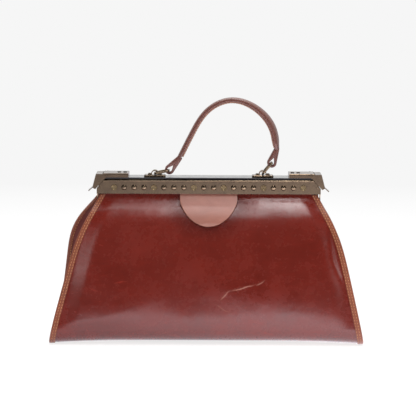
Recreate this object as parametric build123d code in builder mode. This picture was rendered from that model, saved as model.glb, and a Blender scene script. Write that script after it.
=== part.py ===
"""A frame handbag of smooth leather, in millimetres.

X is the bag's length, -Y the front with the half-round tab, +Z up, and the origin is on
the ground under the middle of the bag.  A folded brass frame in two halves opens about
the two hinge rivets, and a claw latch at each end of the rear half holds it shut.  The
arched handle swings on two wire rings.
"""
from build123d import *
import math
import os

# ---- leather body ----
leather_thick = 2.0           # front, base and rear, one piece
lining_thick = 0.8
gusset_thick = 2.0            # measured along X
binding_thick = 1.2           # outer leaf of the edge binding
binding_inner = 1.6           # inner leaf of the edge binding
binding_width = 6.0
gusset_inset = 3.75           # from the end of the front panel to the end panel's seam
tab_thick = 1.8
tab_half_width = 34.4
tab_bottom_z = 139.4
layer_gap = 0.3               # between one soft layer and the next
mouth_half_depth = 15.6       # outer face of the leather where the frame holds it
frame_edge_z = 177.3          # lower edge of the decorative strip
leather_top_z = frame_edge_z + 12.7
shoulder_z = frame_edge_z + 0.7
shoulder_radius = 22.0
shoulder_angle = 50.0         # how far the leather flares below the frame, degrees
waist_radius = 42.0
flank_angle = 20.0            # slope of the front below the waist, from upright
toe_angle = 4.9               # slope just above the bottom fold
fold_radius = 18.0            # the leather's fold at the bottom
board_thick = 2.0
board_end_gap = 18.0          # from the board's end to the end of the base

# ---- frame and body lengths ----
strip_half_length = 134.4
leather_end_gap = 5.3         # from the strip's end to the leather's where the frame holds it
base_half_length = 187.0

# At heights above the ground: how much of the way the front panel spreads from its length
# under the frame to its length at the base, how far the rear panel bulges beyond it at the
# left and at the right end, and how far the end panel folds inward.
end_levels = [
    # height, spread, rear bulge left, rear bulge right, fold inward
    (0.0, 1.0, 0.0, 0.0, 0.5),
    (25.0, 0.913, 0.6, 0.4, 1.0),
    (52.0, 0.803, 2.6, 0.8, 3.0),
    (80.0, 0.684, 6.0, 1.2, 8.0),
    (104.0, 0.578, 9.3, 1.8, 17.0),
    (127.0, 0.451, 11.8, 1.0, 29.0),
    (150.0, 0.262, 9.8, 0.2, 29.0),
    (frame_edge_z, 0.0, 1.8, 0.0, 24.0),
    (leather_top_z + 2, -0.1, 0.0, 0.0, 22.0),
]

# ---- frame ----
hinge_z = 140.0
sheet = 0.8                   # folded brass
strip_height = 14.5
strip_thick = 1.2
lip_radius = 1.1
channel_outer = 17.8          # inside of the channel's outer wall
channel_inner = 13.3          # inside of its inner wall
channel_lap = 1.7             # how much shorter the inner wall is than the outer
front_channel_top = frame_edge_z + 15.7
plate_under_z = frame_edge_z + 17.8
plate_thick = 1.5
plate_half_length = strip_half_length - 1.9
plate_front = 17.6
leg_thick = 1.2
leg_radius = 5.0
leg_gap = 0.2
leg_top_width = 2.0           # a leg where it leaves its channel, next to the inner wall
leg_clearance = 0.6           # between a leg and the leather round it
corner_cut_inner = 9.0        # the strip's corner is cut from here, measured from its end
corner_cut_drop = 10.0        # to here, measured down from the lip
stud_end_gap = 20.9           # from the strip's end to the first rivet
stud_count = 20
stud_pitch = 2 * (strip_half_length - stud_end_gap) / (stud_count - 1)
ring_rivet_places = (0, 4, 8, 11, 15, 19)
stud_z = frame_edge_z + 7.6
dome_radius = 3.25
dome_height = 1.6
ring_rivet_radius = 3.75
ring_rivet_height = 0.9
ring_shank = 1.3
dome_shank = 0.8
end_rivet_x = strip_half_length - 4.6
end_rivet_z = frame_edge_z + 8.3
end_rivet_radius = 1.2
hinge_pin_radius = 2.0
hinge_head_radius = 4.0
running = 0.05                # radial clearance of a turning fit
washer_thick = 0.5

# ---- latches ----
housing_length = 30.0
housing_outer_x = strip_half_length - 7.9
housing_inner_x = housing_outer_x - housing_length
housing_height = 5.0
housing_half_depth = 18.2
latch_pin_x = housing_outer_x - 3.7
latch_pin_height = 2.5        # above the top plate
latch_pin_radius = 0.9
claw_sheet = 1.2
claw_gap = 0.5                # between the claw's ear and the strip's cut corner
claw_top_x = strip_half_length + 1.0
claw_low_x = claw_top_x + 4.3
claw_low_z = frame_edge_z + 7.0
claw_tab_x = claw_low_x + 5.5
claw_tab_z = frame_edge_z + 2.5
claw_tab_half_width = 10.0
claw_swing_gap = 1.2          # from the housing's end to the claw's top
claw_top_drop = 0.8           # how far the claw's top lies below the housing's
nose_radius = 2.5
coil_turns_length = 12.0
coil_wire = 0.5
housing_rivet_x = (housing_inner_x + 4.5, housing_inner_x + 11.5)
housing_rivet_radius = 1.2

# ---- handle ----
handle_x = 65.0
handle_plate_size = (26.0, 18.0, 2.2)
bridge_width = 9.0
bridge_thick = 1.2
bridge_room = (7.0, 4.6)      # width and height of the space under the bridge loop
bridge_foot = 4.4
wire_radius = 1.2
ring_reach = 17.0             # from the ring's hinge bar to its handle bar
ring_half_width = 10.5
ring_corner = 3.5
left_ring_angle = 11.0        # above level, as the handle rests leaning to the right
right_ring_angle = 50.0
handle_route = [(-35.3, 218.2), (-19.2, 250.2), (-2.3, 275.3), (24.6, 288.5),
                (54.9, 280.2), (76.9, 254.5), (81.6, 228.5)]
strap_thick = 2.0
strap_half_width = 8.5
core_thick = 2.9
core_half_width = 6.4
handle_lining_thick = 1.5
handle_lining_half_width = 7.8
sewn_gap = 0.05
eye_radius = 3.0              # inside of the handle's end loops
eye_length = 9.5
loop_half_width = 6.0
loop_thick = 2.8
loop_end_thick = 4.6          # the strap and its tail where they meet above the eye
handle_samples = 28

far = 400.0                   # longer than the bag, for cutting


def write(part, name):
    """Label a finished piece and write it to its own file."""
    part.label = name
    export_step(part, f"parts/{name}.step")
    print(f"{name:22s} {len(part.solids())} solid(s) {part.volume:10.1f} mm3")


def heading(angle):
    """Direction of the front leather, falling and leaning out by an angle."""
    return (-math.sin(math.radians(angle)), -math.cos(math.radians(angle)))


def sine(angle):
    return math.sin(math.radians(angle))


def cosine(angle):
    return math.cos(math.radians(angle))


os.makedirs("parts", exist_ok=True)

# ---- the body's side profile ----
# From the frame down: straight, a shoulder that flares out, a waist that turns back, a long
# gentle flank, and the fold into the flat base.
base_under_z = binding_thick
waist_z = shoulder_z - shoulder_radius * sine(shoulder_angle)
flank_z = waist_z - waist_radius * (sine(shoulder_angle) - sine(flank_angle))
fold_z = base_under_z + fold_radius * (1 + sine(toe_angle))
flank_radius = (flank_z - fold_z) / (sine(flank_angle) - sine(toe_angle))
leather_end_z = leather_top_z + 20

with BuildSketch(Plane.YZ) as body_section:
    with BuildLine():
        throat = Line((-mouth_half_depth, leather_end_z), (-mouth_half_depth, shoulder_z))
        shoulder = JernArc(throat @ 1, heading(0), shoulder_radius, -shoulder_angle)
        waist = JernArc(shoulder @ 1, heading(shoulder_angle), waist_radius,
                        shoulder_angle - flank_angle)
        flank = JernArc(waist @ 1, heading(flank_angle), flank_radius,
                        flank_angle - toe_angle)
        fold = JernArc(flank @ 1, heading(toe_angle), fold_radius, 90 + toe_angle)
        Line(fold @ 1, (0, base_under_z))
        Line((0, base_under_z), (0, leather_end_z))
        Line((0, leather_end_z), throat @ 0)
    make_face()
    mirror(about=Plane.YZ)

half_base_depth = -(flank @ 1).X
print("half depth at the bottom fold", round(half_base_depth, 2))


def profile_face(inset):
    """The side profile drawn in by a distance, or out where the distance is negative."""
    return offset(body_section.sketch_local, -inset) if inset else body_section.sketch_local


def layer(outside, inside):
    """A sheet of the body between two depths below the leather's outer face."""
    outer_face, inner_face = profile_face(outside), profile_face(inside)
    with BuildPart() as sheet_of_layer:
        with BuildSketch(Plane.YZ.offset(-far / 2)):
            add(outer_face)
            add(inner_face, mode=Mode.SUBTRACT)
        extrude(amount=far)
    return sheet_of_layer.part


def inside_volume(depth):
    """All the room inside a depth below the leather's outer face."""
    face = profile_face(depth)
    with BuildPart() as room:
        with BuildSketch(Plane.YZ.offset(-far / 2)):
            add(face)
        extrude(amount=far)
    return room.part


def front_half_length_at(share):
    """The front panel's half length where it has spread by a share."""
    held = strip_half_length - leather_end_gap
    return held + (base_half_length - held) * share


def panel_prism(side, spread, top):
    """The panel outline spread outward, extruded from the middle to the front or rear."""
    bulge_share = 0 if side == "front" else 1
    with BuildPart() as prism:
        with BuildSketch(Plane.XZ):
            for end in (-1, 1):
                points = []
                for z, share, bulge_left, bulge_right, _ in end_levels:
                    bulge = bulge_share * (bulge_left if end < 0 else bulge_right)
                    points.append((end * (front_half_length_at(share) + bulge + spread), z))
                with BuildLine():
                    edge = Spline(*points)
                    Polyline(edge @ 1, (0, points[-1][1]), (0, -10), (points[0][0], -10),
                             edge @ 0)
                make_face()
        extrude(amount=far / 4 if side == "front" else -far / 4)
        with BuildSketch(Plane.XY.offset(top)):
            Rectangle(far, far)
        extrude(amount=far, mode=Mode.SUBTRACT)
    return prism.part


def panel_sheet(outside, inside, spread, top, clear_of=()):
    """A layer of the body cut to the panel outlines, less what it has to stay clear of."""
    with BuildPart() as both_halves:
        for side in ("front", "rear"):
            with BuildPart(mode=Mode.PRIVATE) as half:
                add(layer(outside, inside))
                add(panel_prism(side, spread, top), mode=Mode.INTERSECT)
                for piece in clear_of:
                    add(piece(side), mode=Mode.SUBTRACT)
            add(half.part)
    return both_halves.part


def stud_places(wanted_rings):
    """X places along the strip, of the ring rivets or of the dome studs."""
    first = -(stud_count - 1) / 2 * stud_pitch
    return [first + n * stud_pitch for n in range(stud_count)
            if (n in ring_rivet_places) == wanted_rings]


rivet_room = ring_shank + layer_gap / 2
lip_top = frame_edge_z + strip_height + 2 * lip_radius - 0.2
front_half_length = strip_half_length
rear_half_length = front_half_length - leg_thick - leg_gap


def leg_section(spread):
    """A front leg seen from the end: from the channel's inner wall down to the hinge."""
    inner_face = channel_inner - sheet - spread
    outer_face = inner_face + leg_top_width + 2 * spread
    top = frame_edge_z + channel_lap
    with BuildSketch() as section:
        with BuildLine():
            CenterArc((0, hinge_z), leg_radius + spread, 0, 360)
            Polyline((-outer_face, top), (-inner_face, top), (-inner_face, top + 1),
                     (-outer_face, top + 1), close=True)
        make_hull()
    return section.sketch_local


def leg_rooms():
    """The room that the four legs need among the leather."""
    section = leg_section(leg_clearance)
    with BuildPart() as rooms:
        for end in (-1, 1):
            with BuildSketch(Plane.YZ.offset(end * (rear_half_length - leg_thick - leg_clearance))):
                add(section)
                mirror(about=Plane.YZ)
            extrude(amount=end * (2 * leg_thick + leg_gap + 2 * leg_clearance))
    return rooms.part


legs_room = leg_rooms()

# ---- leather wrap: front, base and rear in one piece ----
with BuildPart() as body_wrap:
    add(panel_sheet(0, leather_thick, 0, leather_top_z))
    with BuildSketch(Plane.XZ):
        with Locations(*[(x, stud_z) for x in stud_places(True)]):
            Circle(rivet_room)
    extrude(amount=far / 2, both=True, mode=Mode.SUBTRACT)
    add(legs_room, mode=Mode.SUBTRACT)
write(body_wrap.part, "body_wrap")

# ---- edge bindings, folded over the wrap's two ends ----
binding_depth = leather_thick + binding_inner
binding_top_z = frame_edge_z - 1.0


def wrap_half(side):
    """The wrap's front or rear half, without its rivet holes."""
    with BuildPart() as half:
        add(layer(0, leather_thick))
        add(panel_prism(side, 0, leather_top_z), mode=Mode.INTERSECT)
    return half.part


def between_bindings(side):
    """What lies between the two bindings."""
    return panel_prism(side, -binding_width, leather_top_z)


both_bindings = panel_sheet(-binding_thick, binding_depth, binding_thick, binding_top_z,
                            clear_of=(between_bindings, wrap_half))
for side, name in ((Keep.BOTTOM, "left_binding"), (Keep.TOP, "right_binding")):
    with BuildPart() as binding:
        add(both_bindings)
        split(bisect_by=Plane.YZ, keep=side)
        add(legs_room, mode=Mode.SUBTRACT)
    write(binding.part, name)


# ---- end gussets, folded inward towards the frame ----
def gusset_shell(start, thick, room):
    """The folded end panel: a ruled shell through one V at each height, cut to a room."""
    with BuildPart() as shell:
        for z, share, _, _, fold_in in end_levels[:-1]:
            edge_x = front_half_length_at(share) - gusset_inset - start
            reach = far / 4
            lean = fold_in * reach / v_half_depth(z)
            with BuildSketch(Plane.XY.offset(z)):
                with BuildLine():
                    fold_x = edge_x - fold_in
                    Polyline((fold_x, 0), (fold_x + lean, reach), (fold_x + lean - thick, reach),
                             (fold_x - thick, 0), (fold_x + lean - thick, -reach),
                             (fold_x + lean, -reach), close=True)
                make_face()
        loft(ruled=True)
        add(room, mode=Mode.INTERSECT)
    return shell.part


def v_half_depth(z):
    """Half depth of the body at a height, from the arcs of the side profile."""
    if z > shoulder_z:
        return mouth_half_depth
    edges = (shoulder, waist, flank, fold)
    arc = next((e for e in edges if (e @ 1).Y <= z), fold)
    low, high = 0.0, 1.0
    for _ in range(30):
        middle = (low + high) / 2
        if (arc @ middle).Y > z:
            low = middle
        else:
            high = middle
    return -(arc @ low).X


gusset_room = inside_volume(binding_depth + layer_gap)
with BuildPart() as right_gusset:
    add(gusset_shell(0, gusset_thick, gusset_room))
    with BuildSketch(Plane.XY.offset(binding_top_z)):
        Rectangle(far, far)
    extrude(amount=far, mode=Mode.SUBTRACT)
write(right_gusset.part, "right_gusset")
write(mirror(right_gusset.part, about=Plane.YZ), "left_gusset")

lining_start = gusset_thick + layer_gap
with BuildPart() as right_gusset_lining:
    add(gusset_shell(lining_start, lining_thick, gusset_room))
    with BuildSketch(Plane.XY.offset(binding_top_z - lining_start)):
        Rectangle(far, far)
    extrude(amount=far, mode=Mode.SUBTRACT)
write(right_gusset_lining.part, "right_gusset_lining")
write(mirror(right_gusset_lining.part, about=Plane.YZ), "left_gusset_lining")

# ---- body lining and the board on it ----
lining_depth = leather_thick + layer_gap
body_lining = panel_sheet(lining_depth, lining_depth + lining_thick, -binding_width - 4,
                          frame_edge_z - 0.5)
write(body_lining, "body_lining")

board_z = base_under_z + lining_depth + lining_thick
with BuildPart() as base_board:
    with BuildSketch(Plane.XY.offset(board_z)):
        board_half_depth = half_base_depth - fold_radius - 2
        RectangleRounded(2 * (base_half_length - board_end_gap), 2 * board_half_depth, 6)
    extrude(amount=board_thick)
write(base_board.part, "base_board")

# ---- half-round tab, held in the front channel with the wrap ----
tab_top_z = leather_top_z - 2
tab_straight = 6.0
with BuildPart() as front_tab:
    with BuildSketch(Plane.XZ):
        with Locations((0, frame_edge_z - tab_straight)):
            Ellipse(tab_half_width, frame_edge_z - tab_straight - tab_bottom_z)
            Rectangle(2 * tab_half_width, tab_top_z - frame_edge_z + tab_straight,
                      align=(Align.CENTER, Align.MIN))
        with Locations((0, tab_top_z)):
            Rectangle(far, far, align=(Align.CENTER, Align.MIN), mode=Mode.SUBTRACT)
        with Locations(*[(x, stud_z) for x in stud_places(True) if abs(x) < tab_half_width]):
            Circle(rivet_room, mode=Mode.SUBTRACT)
    extrude(amount=far / 2)
    add(layer(-tab_thick - layer_gap / 2, -layer_gap / 2), mode=Mode.INTERSECT)
write(front_tab.part, "front_tab")

# ---- frame halves ----
# The corner cut runs over the strip, its lip and the channel, and leaves room for the
# claw's ear in the same plane.
cut_slope = corner_cut_drop / corner_cut_inner
cut_normal = math.hypot(corner_cut_inner, corner_cut_drop)


def corner_cut():
    """Both upper corners of a frame half, to be taken away."""
    with BuildPart() as corners:
        with BuildSketch(Plane.XZ):
            with BuildLine():
                overshoot = 6.0
                Polyline((strip_half_length + overshoot, lip_top - corner_cut_drop
                          - overshoot * cut_slope),
                         (strip_half_length - corner_cut_inner - overshoot,
                          lip_top + overshoot * cut_slope),
                         (strip_half_length + overshoot, lip_top + overshoot * cut_slope),
                         close=True)
            make_face()
            mirror(about=Plane.YZ)
        extrude(amount=far / 2, both=True)
    return corners.part


def channel(top_z, half_length, leg_inner_x):
    """A folded channel over the leather's front edge, with a leg at each end."""
    outer_face = channel_outer + sheet
    inner_face = channel_inner - sheet
    leg = leg_section(0)
    with BuildPart() as frame_half:
        with BuildSketch(Plane.YZ.offset(-half_length)):
            with BuildLine():
                Polyline((-outer_face, frame_edge_z), (-outer_face, top_z), (-inner_face, top_z),
                         (-inner_face, frame_edge_z + channel_lap),
                         (-channel_inner, frame_edge_z + channel_lap),
                         (-channel_inner, top_z - sheet), (-channel_outer, top_z - sheet),
                         (-channel_outer, frame_edge_z), close=True)
            make_face()
        extrude(amount=2 * half_length)
        leg_top = lip_top - corner_cut_drop
        for end in (-1, 1):
            with BuildSketch(Plane.YZ.offset(end * leg_inner_x)):
                add(leg)
                with BuildLine():
                    Polyline((-outer_face, frame_edge_z), (-outer_face, leg_top),
                             (-inner_face, leg_top), (-inner_face, frame_edge_z + channel_lap),
                             close=True)
                make_face()
            extrude(amount=end * leg_thick)
        add(corner_cut(), mode=Mode.SUBTRACT)
        with BuildSketch(Plane.YZ):
            with Locations((0, hinge_z)):
                Circle(hinge_pin_radius + running)
        extrude(amount=far / 2, both=True, mode=Mode.SUBTRACT)
        with BuildSketch(Plane.XZ):
            with Locations(*[(x, stud_z) for x in stud_places(True)]):
                Circle(ring_shank)
        extrude(amount=far / 2, mode=Mode.SUBTRACT)
        with BuildSketch(Plane.XZ.offset(channel_outer)):
            with Locations(*[(x, stud_z) for x in stud_places(False)]):
                Circle(dome_shank)
            with Locations((-end_rivet_x, end_rivet_z), (end_rivet_x, end_rivet_z)):
                Circle(dome_shank)
        extrude(amount=far / 4, mode=Mode.SUBTRACT)
    return frame_half.part


strip_back = channel_outer + sheet
strip_face = strip_back + strip_thick
lip_z = frame_edge_z + strip_height + lip_radius - 0.2
with BuildPart() as front_strip:
    with BuildSketch(Plane.YZ.offset(-strip_half_length)):
        with Locations((-strip_back, frame_edge_z)):
            Rectangle(strip_thick, strip_height, align=(Align.MAX, Align.MIN))
        with Locations((-strip_face, lip_z)):
            Circle(lip_radius)
    extrude(amount=2 * strip_half_length)
    add(corner_cut(), mode=Mode.SUBTRACT)
    with BuildSketch(Plane.XZ):
        with Locations(*[(x, stud_z) for x in stud_places(True)]):
            Circle(ring_shank)
        with Locations(*[(x, stud_z) for x in stud_places(False)]):
            Circle(dome_shank)
        with Locations((-end_rivet_x, end_rivet_z), (end_rivet_x, end_rivet_z)):
            Circle(dome_shank)
    extrude(amount=far / 2, mode=Mode.SUBTRACT)


def dome_on_shank(radius, height, shank, shank_length):
    """A domed head on the strip's face, with a shank behind it, centred at the origin."""
    with BuildPart() as stud:
        with BuildSketch(Plane.XZ):
            with BuildLine():
                bulge = ThreePointArc((0, height), (radius * 0.62, height * 0.7), (radius, 0))
                Polyline(bulge @ 1, (shank, 0), (shank, -shank_length), (0, -shank_length),
                         bulge @ 0)
            make_face()
        revolve(axis=Axis.Z)
    return stud.part


def ring_rivet(back_length):
    """A flat rivet head with a raised ring and a centre dimple, its shank and back head."""
    back_head = 2.4
    with BuildPart() as rivet:
        with BuildSketch(Plane.XZ):
            with BuildLine():
                rim = ring_rivet_radius
                Polyline((0, 0.25), (0.9, 0.25), (1.1, ring_rivet_height * 0.6),
                         (rim * 0.62, ring_rivet_height * 0.6), (rim * 0.74, ring_rivet_height),
                         (rim * 0.9, ring_rivet_height), (rim, 0), (ring_shank, 0),
                         (ring_shank, -back_length), (back_head, -back_length),
                         (back_head - 0.6, -back_length - sheet), (0, -back_length - sheet),
                         close=True)
            make_face()
        revolve(axis=Axis.Z)
    return rivet.part


def on_strip_face(stud, places, height):
    """Copies of a stud on the strip's front face, standing out towards -Y."""
    face = Plane(origin=(0, -strip_face, height), x_dir=(1, 0, 0), z_dir=(0, -1, 0))
    return Compound([solid for x in places for solid in (face * Pos(x, 0, 0) * stud).solids()])


dome = dome_on_shank(dome_radius, dome_height, dome_shank, strip_thick + sheet)
end_rivet = dome_on_shank(end_rivet_radius, 0.6, dome_shank, strip_thick + sheet)
through_length = strip_face - (channel_inner - sheet)
front_pieces = {
    "front_strip": front_strip.part,
    "front_dome_studs": on_strip_face(dome, stud_places(False), stud_z),
    "front_ring_rivets": on_strip_face(ring_rivet(through_length), stud_places(True), stud_z),
    "front_end_rivets": on_strip_face(end_rivet, (-end_rivet_x, end_rivet_x), end_rivet_z),
}
for name, piece in front_pieces.items():
    write(piece, name)
    write(mirror(piece, about=Plane.XZ), name.replace("front", "rear"))

write(channel(front_channel_top, front_half_length, front_half_length - leg_thick),
      "front_channel")
rear_channel = channel(plate_under_z, rear_half_length, rear_half_length - leg_thick)

# ---- hinge rivets, with a washer each side of the two legs ----
legs_inner_x = rear_half_length - leg_thick
legs_outer_x = front_half_length
washer_gap = 0.1
with BuildPart() as right_hinge_rivet:
    rivet_inner_x = legs_inner_x - washer_gap - washer_thick - washer_gap
    rivet_outer_x = legs_outer_x + washer_gap + washer_thick + washer_gap
    with BuildSketch(Plane.YZ.offset(rivet_inner_x)):
        with Locations((0, hinge_z)):
            Circle(hinge_pin_radius)
    extrude(amount=rivet_outer_x - rivet_inner_x)
    for x, way in ((rivet_inner_x, -1), (rivet_outer_x, 1)):
        with BuildSketch(Plane.YZ.offset(x)):
            with Locations((0, hinge_z)):
                Circle(hinge_head_radius)
        extrude(amount=way * sheet, taper=12)
write(right_hinge_rivet.part, "right_hinge_rivet")
write(mirror(right_hinge_rivet.part, about=Plane.YZ), "left_hinge_rivet")

with BuildPart() as right_hinge_washers:
    for x in (legs_inner_x - washer_gap - washer_thick, legs_outer_x + washer_gap):
        with BuildSketch(Plane.YZ.offset(x)):
            with Locations((0, hinge_z)):
                Circle(hinge_head_radius + 0.6)
                Circle(hinge_pin_radius + running, mode=Mode.SUBTRACT)
        extrude(amount=washer_thick)
write(right_hinge_washers.part, "right_hinge_washers")
write(mirror(right_hinge_washers.part, about=Plane.YZ), "left_hinge_washers")

# ---- top plate on the rear channel ----
plate_top_z = plate_under_z + plate_thick
plate_rivet_y = (channel_outer + channel_inner) / 2
plate_rivet_shares = (-0.68, -0.24, 0.24, 0.68)   # of the plate's half length
plate_rivet_places = [(share * plate_half_length, plate_rivet_y) for share in plate_rivet_shares]
plate_rivet_radius = 1.5
handle_rivet_radius = 1.2
handle_rivet_head = 1.4 * handle_rivet_radius
foot_x = bridge_room[0] / 2 + bridge_thick + handle_rivet_head + 0.1
handle_rivet_places = [(side * handle_x + way * foot_x, 0) for side in (-1, 1) for way in (-1, 1)]
housing_rivet_places = [(side * x, 0) for side in (-1, 1) for x in housing_rivet_x]
with BuildPart() as top_plate:
    with BuildSketch(Plane.XY.offset(plate_under_z)):
        with Locations((0, (housing_half_depth - plate_front) / 2)):
            RectangleRounded(2 * plate_half_length, plate_front + housing_half_depth, 1.0)
        with Locations(*plate_rivet_places):
            Circle(plate_rivet_radius, mode=Mode.SUBTRACT)
        with Locations(*handle_rivet_places):
            Circle(handle_rivet_radius, mode=Mode.SUBTRACT)
        with Locations(*housing_rivet_places):
            Circle(housing_rivet_radius, mode=Mode.SUBTRACT)
    extrude(amount=plate_thick)
write(top_plate.part, "top_plate")

with BuildPart() as rear_channel_drilled:
    add(mirror(rear_channel, about=Plane.XZ))
    with BuildSketch(Plane.XY.offset(plate_under_z - sheet)):
        with Locations(*plate_rivet_places):
            Circle(plate_rivet_radius)
    extrude(amount=sheet, mode=Mode.SUBTRACT)
write(rear_channel_drilled.part, "rear_channel")

with BuildPart() as plate_rivets:
    with BuildSketch(Plane.XY.offset(plate_under_z - sheet)):
        with Locations(*plate_rivet_places):
            Circle(plate_rivet_radius)
    extrude(amount=plate_thick + sheet)
    with BuildSketch(Plane.XY.offset(plate_under_z - sheet)):
        with Locations(*plate_rivet_places):
            Circle(plate_rivet_radius + 0.5)
    extrude(amount=-sheet)
write(plate_rivets.part, "plate_rivets")

# ---- latch housings, riveted on the plate ----
housing_top_z = plate_top_z + housing_height
latch_pin_z = plate_top_z + latch_pin_height
with BuildPart() as right_housing:
    with BuildSketch(Plane.XY.offset(plate_top_z)):
        with Locations(((housing_inner_x + housing_outer_x) / 2, 0)):
            Rectangle(housing_outer_x - housing_inner_x, 2 * housing_half_depth)
    extrude(amount=housing_height)
    top_edges = right_housing.edges().group_by(Axis.Z)[-1]
    fillet(top_edges.filter_by(Axis.X), 1.2)
    with BuildSketch(Plane.XY.offset(plate_top_z)):
        with Locations((housing_inner_x + sheet, 0)):
            Rectangle(far, 2 * (housing_half_depth - sheet), align=(Align.MIN, Align.CENTER))
    extrude(amount=housing_height - sheet, mode=Mode.SUBTRACT)
    with BuildSketch(Plane.XZ):
        with Locations((latch_pin_x, latch_pin_z)):
            Circle(latch_pin_radius)
    extrude(amount=far / 2, both=True, mode=Mode.SUBTRACT)
    with BuildSketch(Plane.XY.offset(housing_top_z)):
        with Locations(*[(x, 0) for x in housing_rivet_x]):
            Circle(housing_rivet_radius)
    extrude(amount=-2 * sheet, mode=Mode.SUBTRACT)
write(right_housing.part, "right_housing")
write(mirror(right_housing.part, about=Plane.YZ), "left_housing")

rivet_head = 0.9
with BuildPart() as right_housing_rivets:
    with BuildSketch(Plane.XY.offset(plate_under_z)):
        with Locations(*[(x, 0) for x in housing_rivet_x]):
            Circle(housing_rivet_radius)
    extrude(amount=housing_top_z - plate_under_z)
    for z, way in ((housing_top_z, 1), (plate_under_z, -1)):
        with BuildSketch(Plane.XY.offset(z)):
            with Locations(*[(x, 0) for x in housing_rivet_x]):
                Circle(2 * housing_rivet_radius)
        extrude(amount=way * rivet_head, taper=25)
write(right_housing_rivets.part, "right_housing_rivets")
write(mirror(right_housing_rivets.part, about=Plane.YZ), "left_housing_rivets")

# ---- claws: a bent cap with an ear in front and behind, on a pin through the housing ----
claw_inner_y = strip_back + 0.1
claw_outer_y = claw_inner_y + claw_sheet
claw_top_z = housing_top_z - claw_top_drop
cut_line_z = lip_top + claw_gap * cut_normal / corner_cut_inner
ear_low_x = claw_low_x - 3.4
ear_low_z = cut_line_z - (ear_low_x - strip_half_length + corner_cut_inner) * cut_slope
ear_high_x = strip_half_length - corner_cut_inner - 1.0
ear_high_z = cut_line_z + cut_slope
claw_inner_x = housing_outer_x + claw_swing_gap
with BuildPart() as right_claw:
    with BuildSketch(Plane.XZ.offset(-claw_outer_y)):
        with BuildLine():
            Polyline((latch_pin_x, latch_pin_z + nose_radius), (claw_inner_x, claw_top_z),
                     (claw_top_x, claw_top_z), (claw_low_x, claw_low_z), (ear_low_x, ear_low_z),
                     (ear_high_x, ear_high_z), (latch_pin_x, latch_pin_z - nose_radius),
                     close=True)
        make_face()
        with Locations((latch_pin_x, latch_pin_z)):
            Circle(nose_radius)
    extrude(amount=2 * claw_outer_y)
    with BuildSketch(Plane.XZ.offset(-claw_inner_y)):
        with BuildLine():
            top_in = claw_top_z - sheet
            run = (claw_low_x - claw_top_x) / (claw_top_z - claw_low_z)
            Polyline((latch_pin_x - 2 * nose_radius, top_in + nose_radius),
                     (claw_inner_x, top_in + nose_radius), (claw_inner_x, top_in),
                     (claw_top_x - claw_sheet, top_in),
                     (claw_low_x - claw_sheet + run, claw_low_z - 1),
                     (latch_pin_x - 2 * nose_radius, claw_low_z - 1), close=True)
        make_face()
    extrude(amount=2 * claw_inner_y, mode=Mode.SUBTRACT)
    with BuildSketch(Plane.XZ.offset(-claw_tab_half_width)):
        with BuildLine():
            Polyline((claw_low_x - claw_sheet, claw_low_z), (claw_low_x, claw_low_z),
                     (claw_tab_x, claw_tab_z), (claw_tab_x - 0.5, claw_tab_z - 0.8), close=True)
        make_face()
    extrude(amount=2 * claw_tab_half_width)
    with BuildSketch(Plane.XZ):
        with Locations((latch_pin_x, latch_pin_z)):
            Circle(latch_pin_radius + running)
    extrude(amount=far / 2, both=True, mode=Mode.SUBTRACT)
write(right_claw.part, "right_claw")
write(mirror(right_claw.part, about=Plane.YZ), "left_claw")

pin_head = 0.8
with BuildPart() as right_claw_pin:
    pin_reach = claw_outer_y + 0.1
    with BuildSketch(Plane.XZ.offset(-pin_reach)):
        with Locations((latch_pin_x, latch_pin_z)):
            Circle(latch_pin_radius)
    extrude(amount=2 * pin_reach)
    for start, way in ((-pin_reach, -1), (pin_reach, 1)):
        with BuildSketch(Plane.XZ.offset(start)):
            with Locations((latch_pin_x, latch_pin_z)):
                Circle(1.8 * latch_pin_radius)
        extrude(amount=way * pin_head, taper=20)
write(right_claw_pin.part, "right_claw_pin")
write(mirror(right_claw_pin.part, about=Plane.YZ), "left_claw_pin")

# The torsion spring round the pin: its coils as one sleeve, with a leg under the claw's top
# and a leg on the plate.
with BuildPart() as right_claw_spring:
    coil_inner = latch_pin_radius + 0.2
    coil_outer = coil_inner + coil_wire
    with BuildSketch(Plane.XZ.offset(-coil_turns_length / 2)):
        with Locations((latch_pin_x, latch_pin_z)):
            Circle(coil_outer)
    extrude(amount=coil_turns_length)
    upper_leg_z = claw_top_z - sheet - 0.1 - coil_wire / 2
    lower_leg_z = latch_pin_z - coil_outer + coil_wire / 2
    for y, z, way, length in ((coil_turns_length / 2 - coil_wire, upper_leg_z, 1, 9.5),
                              (-coil_turns_length / 2 + coil_wire, lower_leg_z, -1, 10.0)):
        with BuildSketch(Plane(origin=(latch_pin_x, y, z), z_dir=(way, 0, 0))):
            Circle(coil_wire / 2)
        extrude(amount=length)
    with BuildSketch(Plane.XZ.offset(-coil_turns_length)):
        with Locations((latch_pin_x, latch_pin_z)):
            Circle(coil_inner)
    extrude(amount=2 * coil_turns_length, mode=Mode.SUBTRACT)
write(right_claw_spring.part, "right_claw_spring")
write(mirror(right_claw_spring.part, about=Plane.YZ), "left_claw_spring")

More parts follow.
